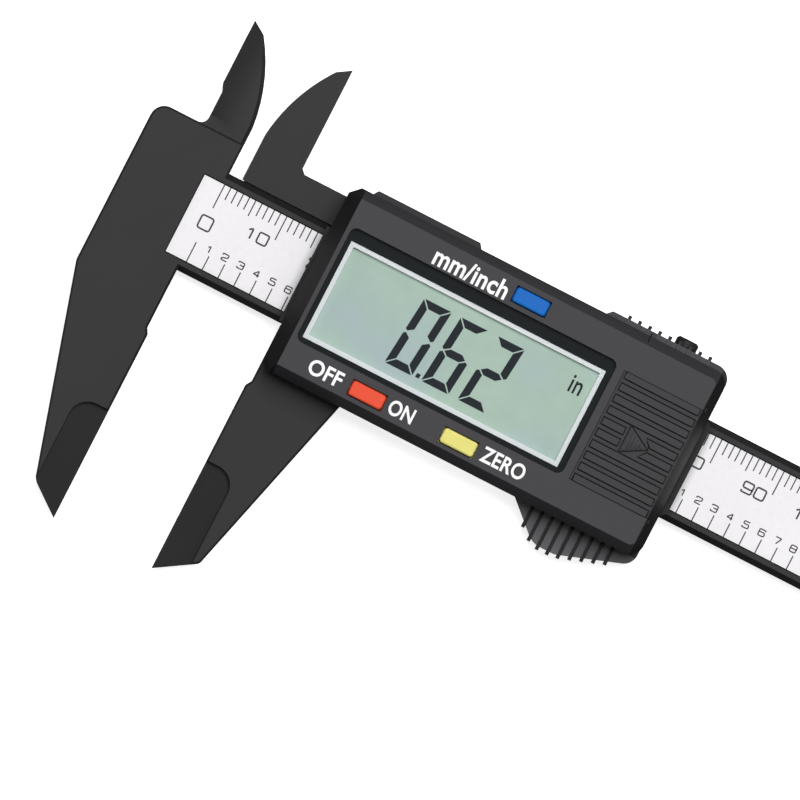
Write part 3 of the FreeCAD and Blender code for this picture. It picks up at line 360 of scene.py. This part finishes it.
def ribbon(work, path, width, low, high, closed=False):
    # closed band of even width along a path of (x, y) points
    count = len(path)
    left, right = [], []
    for index, (x, y) in enumerate(path):
        before = path[(index - 1) % count] if closed or index else path[index]
        after = path[(index + 1) % count] if closed or index < count - 1 else path[index]
        heads = [Vector((x - before[0], y - before[1])), Vector((after[0] - x, after[1] - y))]
        heads = [head.normalized() for head in heads if head.length > 1e-9]
        along = sum(heads, Vector((0, 0))).normalized()
        reach = width / 2 / max(0.5, along.dot(heads[0]))
        left.append((x - along.y * reach, y + along.x * reach))
        right.append((x + along.y * reach, y - along.x * reach))
    rings = [[work.verts.new((x, y, z)) for x, y in side] for z in (low, high) for side in (left, right)]
    lowLeft, lowRight, highLeft, highRight = rings
    steps = range(count) if closed else range(count - 1)
    for index in steps:
        after = (index + 1) % count
        work.faces.new((highLeft[index], highRight[index], highRight[after], highLeft[after]))
        work.faces.new((lowLeft[after], lowRight[after], lowRight[index], lowLeft[index]))
        work.faces.new((lowRight[index], lowRight[after], highRight[after], highRight[index]))
        work.faces.new((lowLeft[after], lowLeft[index], highLeft[index], highLeft[after]))
    if not closed:
        work.faces.new((lowLeft[0], lowRight[0], highRight[0], highLeft[0]))
        work.faces.new((lowRight[-1], lowLeft[-1], highLeft[-1], highRight[-1]))


def meshOf(work, name):
    bmesh.ops.recalc_face_normals(work, faces=work.faces)
    mesh = bpy.data.meshes.new(name)
    work.to_mesh(mesh)
    work.free()
    return mesh


softening = {"segments": 2, "bevelAngle": 28.0, "sharpAngle": 32.0, "flatAngle": 0.5}


def softened(node, material, body, width):
    # a copy of a CAD piece with its edges broken as a mould leaves them
    work = bmesh.new()
    work.from_mesh(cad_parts[node].data)
    bmesh.ops.remove_doubles(work, verts=work.verts, dist=1e-6)
    bmesh.ops.dissolve_limit(work, angle_limit=math.radians(softening["flatAngle"]),
                             verts=work.verts, edges=work.edges)
    mesh = bpy.data.meshes.new(node + "Soft")
    work.to_mesh(mesh)
    work.free()
    copy = bpy.data.objects.new(node + "Soft", mesh)
    bpy.context.scene.collection.objects.link(copy)
    bevel = copy.modifiers.new("bevel", "BEVEL")
    bevel.width = width * mm
    bevel.segments = softening["segments"]
    bevel.limit_method = "ANGLE"
    bevel.angle_limit = math.radians(softening["bevelAngle"])
    bevel.miter_outer = "MITER_SHARP"
    result = baked(copy, node + "Soft")
    result.shade_smooth()
    result.set_sharp_from_angle(angle=math.radians(softening["sharpAngle"]))
    even = bpy.data.objects.new(node + "Even", result)
    bpy.context.scene.collection.objects.link(even)
    weighted = even.modifiers.new("weighted", "WEIGHTED_NORMAL")
    weighted.weight = 100  # the largest face alone gives the direction
    weighted.keep_sharp = True
    return finished(node + "_finished", baked(even, node + "Finished"), material, body, [node])


# each moulded piece: its plastic, its body, the radius of its edges and its slot
softEdges = {
    "beam_and_fixed_jaw": ("jawComposite", "beam", 0.12, "black_composite"),
    "slider_frame": ("framePlastic", "slider", 0.1, "black_composite"),
    "front_cover": ("housingPlastic", "slider", 0.15, "housing_plastic"),
    "back_cover": ("housingPlastic", "slider", 0.12, "housing_plastic"),
    "battery_cover": ("coverPlastic", "battery_cover", 0.1, "housing_plastic"),
    "mode_button": ("blueKey", "mode_button", 0.12, "blue_plastic"),
    "power_button": ("redKey", "power_button", 0.12, "red_plastic"),
    "zero_button": ("yellowKey", "zero_button", 0.12, "yellow_plastic"),
    "lcd_frame": ("whiteBezel", "slider", 0.05, "white_plastic"),
    "rod_guide_plate": ("jawComposite", "beam", 0.06, "black_composite"),
    "depth_rod": ("jawComposite", "slider", 0.1, "black_composite"),
    "lock_screw": ("jawComposite", "lock_screw", 0.06, "black_composite"),
}
for node, (material, body, width, slotName) in softEdges.items():
    softened(node, material, body, width)

plainNodes = {
    "stator_board": "circuitBoard",
    "scale_label": "labelFilm",
    "guide_plate_screws": "screwSteel",
    "display_window": "clearWindow",
    "lcd_glass": "liquidCrystal",
    "zebra_strips": "stripRubber",
    "main_board": "circuitBoard",
    "controller_chip": "blackEpoxy",
    "board_capacitors": "capacitorCeramic",
    "push_switches": "switchBlack",
    "board_screws": "screwSteel",
    "battery": "cellNickel",
    "battery_contact_positive": "springStrip",
    "battery_contact_negative": "springStrip",
    "case_screws": "screwSteel",
    "depth_rod_screw": "screwSteel",
    "lock_pad": "turnedBrass",
}
for node, material in plainNodes.items():
    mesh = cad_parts[node].data
    mesh.materials.clear()
    mesh.materials.append(materials[material])
print("moulded pieces finished")


def tickTree(name):
    tree = bpy.data.node_groups.new(name, "GeometryNodeTree")
    tree.interface.new_socket("Geometry", in_out="INPUT", socket_type="NodeSocketGeometry")
    tree.interface.new_socket("Geometry", in_out="OUTPUT", socket_type="NodeSocketGeometry")
    sockets = {}
    for key, kind, start in (("Count", "NodeSocketInt", 10), ("Pitch", "NodeSocketFloat", 1.0),
                             ("Line width", "NodeSocketFloat", 0.1), ("Thickness", "NodeSocketFloat", 0.01),
                             ("Short", "NodeSocketFloat", 1.0), ("Middle", "NodeSocketFloat", 1.0),
                             ("Long", "NodeSocketFloat", 1.0), ("Middle every", "NodeSocketInt", 5),
                             ("Long every", "NodeSocketInt", 10), ("Way", "NodeSocketFloat", 1.0),
                             ("Start", "NodeSocketVector", (0, 0, 0)), ("Ink", "NodeSocketMaterial", None)):
        made = tree.interface.new_socket(key, in_out="INPUT", socket_type=kind)
        if start is not None:
            made.default_value = start
        sockets[key] = made.identifier

    def add(kind, settings=None, links=None):
        node = tree.nodes.new(kind)
        for key, setting in (settings or {}).items():
            setattr(node, key, setting)
        for key, given in (links or {}).items():
            if isinstance(given, bpy.types.NodeSocket):
                tree.links.new(given, node.inputs[key])
            else:
                node.inputs[key].default_value = given
        return node

    def maths(operation, first, second=0.0):
        return add("ShaderNodeMath", {"operation": operation}, {0: first, 1: second}).outputs[0]

    def vector(x, y, z):
        return add("ShaderNodeCombineXYZ", None, {0: x, 1: y, 2: z}).outputs[0]

    given = add("NodeGroupInput").outputs
    line = add("GeometryNodeMeshLine", {"mode": "OFFSET"}, {
        "Count": given["Count"], "Start Location": given["Start"],
        "Offset": vector(given["Pitch"], 0.0, 0.0)})
    index = add("GeometryNodeInputIndex").outputs[0]
    onLong = maths("LESS_THAN", maths("MODULO", index, given["Long every"]), 0.5)
    onMiddle = maths("LESS_THAN", maths("MODULO", index, given["Middle every"]), 0.5)
    reach = maths("MAXIMUM", maths("MULTIPLY", onLong, given["Long"]),
                  maths("MAXIMUM", maths("MULTIPLY", onMiddle, given["Middle"]), given["Short"]))
    bar = add("GeometryNodeMeshCube", None, {"Size": vector(given["Line width"], 1.0, given["Thickness"])})
    placed = add("GeometryNodeInstanceOnPoints", None, {
        "Points": line.outputs[0], "Instance": bar.outputs[0], "Scale": vector(1.0, reach, 1.0)})
    shift = vector(0.0, maths("MULTIPLY", maths("MULTIPLY", reach, 0.5), given["Way"]), 0.0)
    moved = add("GeometryNodeTranslateInstances", None, {
        "Instances": placed.outputs[0], "Translation": shift, "Local Space": False})
    real = add("GeometryNodeRealizeInstances", None, {"Geometry": moved.outputs[0]})
    inked = add("GeometryNodeSetMaterial", None, {"Geometry": real.outputs[0], "Material": given["Ink"]})
    out = tree.nodes.new("NodeGroupOutput")
    tree.links.new(inked.outputs[0], out.inputs[0])
    return tree, sockets


def tickRow(name, look, start):
    tree, sockets = tickTree(name)
    holder = bpy.data.objects.new(name, bpy.data.meshes.new(name))
    bpy.context.scene.collection.objects.link(holder)
    modifier = holder.modifiers.new("ticks", "NODES")
    modifier.node_group = tree
    for key, setting in look.items():
        modifier[sockets[key]] = setting
    modifier[sockets["Start"]] = start
    modifier[sockets["Ink"]] = materials["scaleInk"]
    mesh = baked(holder, name)
    bpy.data.node_groups.remove(tree)
    return finished(name, mesh, "scaleInk", "beam")


inkThickness = 0.02 * mm
millimetreTicks = {
    "Count": 151, "Pitch": 1.0 * mm, "Line width": 0.18 * mm, "Thickness": inkThickness, "Short": 1.95 * mm,
    "Middle": 2.45 * mm, "Long": 3.75 * mm, "Middle every": 5, "Long every": 10, "Way": -1.0,
}
inchTicks = {
    "Count": 61, "Pitch": 2.54 * mm, "Line width": 0.18 * mm, "Thickness": inkThickness, "Short": 2.15 * mm,
    "Middle": 2.15 * mm, "Long": 3.15 * mm, "Middle every": 5, "Long every": 10, "Way": 1.0,
}
scalePlace = {"edge": 6.15, "inchStart": 0.12}
tickRow("millimetre_ticks", millimetreTicks, spot(0, scalePlace["edge"], labelFace))
tickRow("inch_ticks", inchTicks, spot(scalePlace["inchStart"], -scalePlace["edge"], labelFace))

# strokes of the numerals in a box one unit high, each with a mark for a closed stroke
numeralShape = {"width": 0.94, "corner": 0.2, "pitch": 1.22}
wide = numeralShape["width"]
numeralStrokes = {
    "0": [([(0, 0), (wide, 0), (wide, 1), (0, 1)], True)],
    "1": [([(0.2, 0.74), (0.56, 1.0), (0.56, 0.0)], False)],
    "2": [([(0, 0.74), (0, 1), (wide, 1), (wide, 0.56), (0, 0.3), (0, 0), (wide, 0)], False)],
    "3": [([(0, 0.8), (0, 1), (wide, 1), (wide, 0), (0, 0), (0, 0.2)], False),
          ([(0.3, 0.52), (wide, 0.52)], False)],
    "4": [([(0.72, 0), (0.72, 1), (0, 0.28), (wide, 0.28)], False)],
    "5": [([(wide, 1), (0.06, 1), (0.04, 0.58), (wide, 0.58), (wide, 0), (0, 0), (0, 0.2)], False)],
    "6": [([(wide, 0.82), (wide, 1), (0, 1), (0, 0), (wide, 0), (wide, 0.58), (0, 0.58)], False)],
    "7": [([(0, 1), (wide, 1), (0.38, 0)], False)],
    "8": [([(0, 0), (wide, 0), (wide, 1), (0, 1)], True), ([(0, 0.52), (wide, 0.52)], False)],
    "9": [([(0, 0.18), (0, 0), (wide, 0), (wide, 1), (0, 1), (0, 0.42), (wide, 0.42)], False)],
}


arcSteps = 4


def roundedPath(path, radius, closed):
    # each inner corner becomes a short arc
    made = []
    count = len(path)
    for index, corner in enumerate(path):
        if not closed and index in (0, count - 1):
            made.append(corner)
            continue
        here = Vector(corner)
        before = Vector(path[index - 1]) - here
        after = Vector(path[(index + 1) % count]) - here
        reach = min(radius, before.length * 0.48, after.length * 0.48)
        first = here + before.normalized() * reach
        last = here + after.normalized() * reach
        for step in range(arcSteps + 1):
            share = step / arcSteps
            made.append(tuple(first.lerp(here, share).lerp(here.lerp(last, share), share)))
    return made


def writeNumber(work, text, right, middle, height, stroke):
    # a number whose right edge and mid height are given, in millimetres
    pitch = height * numeralShape["pitch"]
    low, high = labelFace - inkThickness / 2, labelFace + inkThickness / 2
    for place, digit in enumerate(reversed(text)):
        left = right - height * wide - place * pitch
        for path, closed in numeralStrokes[digit]:
            line = []
            for x, y in roundedPath(path, numeralShape["corner"], closed):
                point = spot(left + x * height, middle + (y - 0.5) * height)
                line.append((point.x, point.y))
            ribbon(work, line, stroke * mm, low, high, closed)


# each row of numerals: the height, the height of its middle, the shift of its right edge and the stroke
numeralRows = {
    "zero": {"height": 2.0, "middle": 0.0, "shift": 1.0, "stroke": 0.26},
    "tens": {"height": 1.6, "middle": 1.68, "shift": -0.85, "stroke": 0.26},
    "inches": {"height": 1.75, "middle": -2.2, "shift": -0.75, "stroke": 0.26},
    "tenths": {"height": 0.96, "middle": -3.1, "shift": 0.15, "stroke": 0.19},
}
inch = 25.4


def scaleNumbers():
    work = bmesh.new()

    def write(row, text, place):
        look = numeralRows[row]
        writeNumber(work, text, place + look["shift"], look["middle"], look["height"], look["stroke"])

    write("zero", "0", 0.0)
    for ten in range(10, 151, 10):
        write("tens", str(ten), ten)
    for whole in range(7):
        if whole:
            write("inches", str(whole), whole * inch)
        if whole < 6:
            for tenth in range(1, 10):
                write("tenths", str(tenth), (whole * 10 + tenth) * inch / 10)
    return finished("scale_numbers", meshOf(work, "scale_numbers"), "scaleInk", "beam")


scaleNumbers()
print("scale printed")

letterShape = {"spacing": 1.03, "curveSteps": 6}


def lettering(name, look, level, material, body):
    # generic words fitted into a box given in millimetres
    words, left, baseline, width, height, weight = look
    curve = bpy.data.curves.new(name, "FONT")
    curve.body = words
    curve.size = 1.0
    curve.offset = weight
    curve.space_character = letterShape["spacing"]
    curve.resolution_u = letterShape["curveSteps"]
    holder = bpy.data.objects.new(name, curve)
    bpy.context.scene.collection.objects.link(holder)
    mesh = baked(holder, name)
    work = bmesh.new()
    work.from_mesh(mesh)
    bmesh.ops.remove_doubles(work, verts=work.verts, dist=1e-5)
    for face in work.faces:
        face.smooth = False
    low = Vector((min(v.co.x for v in work.verts), min(v.co.y for v in work.verts), 0))
    high = Vector((max(v.co.x for v in work.verts), max(v.co.y for v in work.verts), 0))
    extruded = bmesh.ops.extrude_face_region(work, geom=work.faces[:])
    lifted = [part for part in extruded["geom"] if isinstance(part, bmesh.types.BMVert)]
    scaleX = width * mm / (high.x - low.x)
    scaleY = height * mm / (high.y - low.y)
    corner = spot(left, baseline, level)
    for vertex in work.verts:
        vertex.co = Vector((corner.x + (vertex.co.x - low.x) * scaleX,
                            corner.y + (vertex.co.y - low.y) * scaleY, level - inkThickness / 2))
    for vertex in lifted:
        vertex.co.z = level + inkThickness / 2
    return finished(name, meshOf(work, name), material, body)


# each word: its text, left edge, baseline, width, height and how much bolder it is drawn
legends = {
    "mode_legend": ("mm/inch", 31.4, 9.55, 11.6, 2.85, 0.022),
    "off_legend": ("OFF", 22.6, -12.4, 5.2, 2.35, 0.022),
    "on_legend": ("ON", 35.4, -12.35, 3.85, 2.3, 0.022),
    "zero_legend": ("ZERO", 50.25, -12.35, 6.8, 2.35, 0.022),
}
scaleWords = {
    "label_mm": ("mm", 153.6, 2.2, 5.1, 1.35, 0.0),
    "label_in": ("in", 156.0, -2.75, 2.2, 1.75, 0.0),
}
displayWords = {"display_unit": ("in", 56.95, 2.25, 1.85, 2.6, 0.012)}
for words, level, material, body in ((legends, faceLevel, "legendInk", "slider"),
                                     (scaleWords, labelFace, "scaleInk", "beam"),
                                     (displayWords, glassFace, "segmentInk", "slider")):
    for name, look in words.items():
        lettering(name, look, level, material, body)
print("words printed")

# the digits shown, the shares of a stroke that shape its ends, and the decimal point after the first digit
digitShape = {
    "shown": "062", "height": 10.7, "width": 4.4, "stroke": 1.15, "gap": 0.13, "pitch": 5.86, "first": 31.9,
    "baseline": -6.0, "slant": 5.3, "barTip": 0.35, "uprightTip": 0.32, "uprightStep": 0.3,
    "dotLeft": 36.75, "dotBase": -5.9, "dotWide": 0.6, "dotTall": 0.65, "dotLean": 0.06,
}


def segmentOutlines(shape):
    tall, across, thick, gap = shape["height"], shape["width"], shape["stroke"], shape["gap"]
    middle = tall / 2
    top = [(gap, tall), (thick + gap, tall - thick),
           (across - thick - gap, tall - thick), (across - gap, tall)]
    tip = thick * shape["barTip"] + gap
    upright = [(0, tall - gap), (0, middle + thick * shape["uprightTip"]),
               (thick * shape["uprightStep"], middle + gap),
               (thick, middle + thick / 2 + gap), (thick, tall - thick - gap)]
    bar = [(tip, middle), (thick + gap, middle - thick / 2),
           (across - thick - gap, middle - thick / 2), (across - tip, middle),
           (across - thick - gap, middle + thick / 2), (thick + gap, middle + thick / 2)]

    def flipY(points):
        return [(x, tall - y) for x, y in reversed(points)]

    def flipX(points):
        return [(across - x, y) for x, y in reversed(points)]

    return {"top": top, "bottom": flipY(top), "upperLeft": upright, "upperRight": flipX(upright),
            "lowerLeft": flipY(upright), "lowerRight": flipX(flipY(upright)), "bar": bar}


def displayDigits():
    shape = digitShape
    outlines = segmentOutlines(shape)
    lit = {
        "0": ("top", "bottom", "upperLeft", "upperRight", "lowerLeft", "lowerRight"),
        "6": ("top", "bottom", "upperLeft", "bar", "lowerLeft", "lowerRight"),
        "2": ("top", "bottom", "upperRight", "bar", "lowerLeft"),
    }
    lean = math.tan(math.radians(shape["slant"]))
    work = bmesh.new()
    low, high = glassFace - inkThickness / 2, glassFace + inkThickness / 2
    for place, digit in enumerate(shape["shown"]):
        left = shape["first"] + place * shape["pitch"]
        for segment in lit[digit]:
            outline = [spot(left + x + y * lean, shape["baseline"] + y) for x, y in outlines[segment]]
            prism(work, [(point.x, point.y) for point in outline], low, high)
    across, tall, tilt = shape["dotWide"], shape["dotTall"], shape["dotLean"]
    corners = ((0, 0), (across, 0), (across + tilt, tall), (tilt, tall))
    dot = [spot(shape["dotLeft"] + x, shape["dotBase"] + y) for x, y in corners]
    prism(work, [(point.x, point.y) for point in dot], low, high)
    return finished("display_digits", meshOf(work, "display_digits"), "segmentInk", "slider")


def roundedRectangle(low, high, radius, steps=6):
    corners = [(high.x, high.y, 0), (low.x, high.y, 1), (low.x, low.y, 2), (high.x, low.y, 3)]
    points = []
    for x, y, quarter in corners:
        middle = Vector((x - math.copysign(radius, x - (low.x + high.x) / 2),
                         y - math.copysign(radius, y - (low.y + high.y) / 2)))
        for step in range(steps + 1):
            angle = (quarter + step / steps) * math.pi / 2
            points.append((middle.x + radius * math.cos(angle), middle.y + radius * math.sin(angle)))
    return points


def windowBorder():
    # black band printed on the back of the window, round the white frame of the display
    band = {"corner": 1.05 * mm, "openingCorner": 0.12 * mm, "edge": 0.03 * mm,
            "lift": 0.01 * mm, "thick": 0.02 * mm}
    low, high = windowLow, windowHigh
    edge = Vector((band["edge"], band["edge"], 0))
    outer = roundedRectangle(low + edge, high - edge, band["corner"])
    inner = roundedRectangle(bezelLow + edge, bezelHigh - edge, band["openingCorner"])
    work = bmesh.new()
    levels = (low.z + band["lift"], low.z + band["lift"] + band["thick"])
    rings = [[work.verts.new((x, y, z)) for x, y in loop] for loop in (outer, inner) for z in levels]
    outerLow, outerHigh, innerLow, innerHigh = rings
    for index in range(len(outer)):
        after = (index + 1) % len(outer)
        for first, second in ((outerLow, outerHigh), (outerHigh, innerHigh), (innerHigh, innerLow),
                              (innerLow, outerLow)):
            work.faces.new((first[index], first[after], second[after], second[index]))
    return finished("window_border", meshOf(work, "window_border"), "borderInk", "slider")


windowBorder()
displayDigits()
print("display drawn")


def knurlTree(name):
    tree = bpy.data.node_groups.new(name, "GeometryNodeTree")
    tree.interface.new_socket("Geometry", in_out="INPUT", socket_type="NodeSocketGeometry")
    tree.interface.new_socket("Geometry", in_out="OUTPUT", socket_type="NodeSocketGeometry")
    sockets = {}
    for key, kind in (("Ridges", "NodeSocketInt"), ("Radius", "NodeSocketFloat"),
                      ("Size", "NodeSocketVector"), ("Plastic", "NodeSocketMaterial")):
        sockets[key] = tree.interface.new_socket(key, in_out="INPUT", socket_type=kind).identifier
    given = tree.nodes.new("NodeGroupInput").outputs
    circle = tree.nodes.new("GeometryNodeMeshCircle")
    tree.links.new(given["Ridges"], circle.inputs["Vertices"])
    tree.links.new(given["Radius"], circle.inputs["Radius"])
    ridge = tree.nodes.new("GeometryNodeMeshCube")
    tree.links.new(given["Size"], ridge.inputs["Size"])
    position = tree.nodes.new("GeometryNodeInputPosition")
    turn = tree.nodes.new("FunctionNodeAlignRotationToVector")
    tree.links.new(position.outputs[0], turn.inputs["Vector"])
    turn.axis = "X"
    copies = tree.nodes.new("GeometryNodeInstanceOnPoints")
    tree.links.new(circle.outputs[0], copies.inputs["Points"])
    tree.links.new(ridge.outputs[0], copies.inputs["Instance"])
    tree.links.new(turn.outputs[0], copies.inputs["Rotation"])
    real = tree.nodes.new("GeometryNodeRealizeInstances")
    tree.links.new(copies.outputs[0], real.inputs[0])
    inked = tree.nodes.new("GeometryNodeSetMaterial")
    tree.links.new(real.outputs[0], inked.inputs["Geometry"])
    tree.links.new(given["Plastic"], inked.inputs["Material"])
    out = tree.nodes.new("NodeGroupOutput")
    tree.links.new(inked.outputs[0], out.inputs[0])
    return tree, sockets


def knurledKnob():
    low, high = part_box("lock_screw")
    radius = (high.x - low.x) / 2
    knob = {"ridges": 24, "proud": 0.12 * mm, "length": 1.3 * mm, "width": 0.22 * mm, "fromTop": 0.35 * mm}
    tree, sockets = knurlTree("knurl")
    holder = bpy.data.objects.new("lock_knurl", bpy.data.meshes.new("lock_knurl"))
    bpy.context.scene.collection.objects.link(holder)
    modifier = holder.modifiers.new("knurl", "NODES")
    modifier.node_group = tree
    modifier[sockets["Ridges"]] = knob["ridges"]
    modifier[sockets["Radius"]] = radius - knob["proud"] / 2
    modifier[sockets["Size"]] = (knob["proud"], knob["width"], knob["length"])
    modifier[sockets["Plastic"]] = materials["jawComposite"]
    middle = (low + high) / 2
    centre = Vector((middle.x, high.y - knob["fromTop"] - knob["length"] / 2, middle.z))
    holder.matrix_world = Matrix.Translation(centre) @ Matrix.Rotation(math.radians(90), 4, "X")
    return finished("lock_knurl", baked(holder, "lock_knurl"), "jawComposite", "lock_screw")


knurledKnob()
print("knurl cut")

# each lamp: its place in metres, the side of its square and its power
lamps = {
    "keyLight": ((-0.02, 0.54, 1.52), 0.9, 25.2),
    "fillLight": ((0.9, -0.5, 1.3), 0.8, 2.0),
    "leftLight": ((-1.2, -0.7, 0.4), 0.6, 3.0),
    "rightLight": ((1.1, 0.9, 0.4), 0.6, 3.0),
}
paper = {"size": 6.0, "thick": 0.02, "glow": 0.75, "air": 0.1}


def softBox(name, where, size, power):
    light = bpy.data.lights.new(name, "AREA")
    light.shape = "SQUARE"
    light.size = size
    light.energy = power
    lamp = bpy.data.objects.new(name, light)
    bpy.context.scene.collection.objects.link(lamp)
    lamp.location = where
    lamp.rotation_euler = (-Vector(where)).to_track_quat("-Z", "Y").to_euler()
    lamp.visible_camera = False


def studio():
    size = paper["size"]
    work = bmesh.new()
    prism(work, [(-size, -size), (size, -size), (size, size), (-size, size)], -paper["thick"], 0.0)
    floor = bpy.data.objects.new("floor", meshOf(work, "floor"))
    bpy.context.scene.collection.objects.link(floor)
    graph = Graph("floorPaper")
    fibre = graph.noise(30.0, 3.0)
    floor.data.materials.append(graph.set(
        Base_Color=graph.mix(fibre, (0.9, 0.9, 0.9, 1), (0.93, 0.93, 0.93, 1)), Roughness=fibre * 0.1 + 0.8,
        Emission_Color=(1.0, 1.0, 1.0, 1.0), Emission_Strength=paper["glow"]))
    floor.visible_diffuse = False
    floor.visible_glossy = False
    world = bpy.data.worlds.new("studio")
    bpy.context.scene.world = world
    world.use_nodes = True
    world.node_tree.nodes["Background"].inputs["Color"].default_value = (1, 1, 1, 1)
    world.node_tree.nodes["Background"].inputs["Strength"].default_value = paper["air"]
    for name, (where, side, power) in lamps.items():
        softBox(name, where, side, power)


def cameraStand():
    # straight down on the tool, turned so that the beam runs to the lower right
    view = {"turn": 27.15, "centre": (36.378, -9.822), "width": 114.53, "lens": 1000.0, "sensor": 36.0}
    camera = bpy.data.cameras.new("camera")
    camera.lens = view["lens"]
    camera.sensor_width = view["sensor"]
    camera.clip_start = 0.05
    camera.clip_end = 50.0
    distance = view["width"] * mm * view["lens"] / view["sensor"]
    holder = bpy.data.objects.new("camera", camera)
    bpy.context.scene.collection.objects.link(holder)
    holder.location = spot(*view["centre"], labelFace + distance)
    holder.rotation_euler = (0, 0, math.radians(view["turn"]))
    bpy.context.scene.camera = holder


studio()
cameraStand()
bpy.context.scene.view_settings.view_transform = "Standard"
print("stage set")
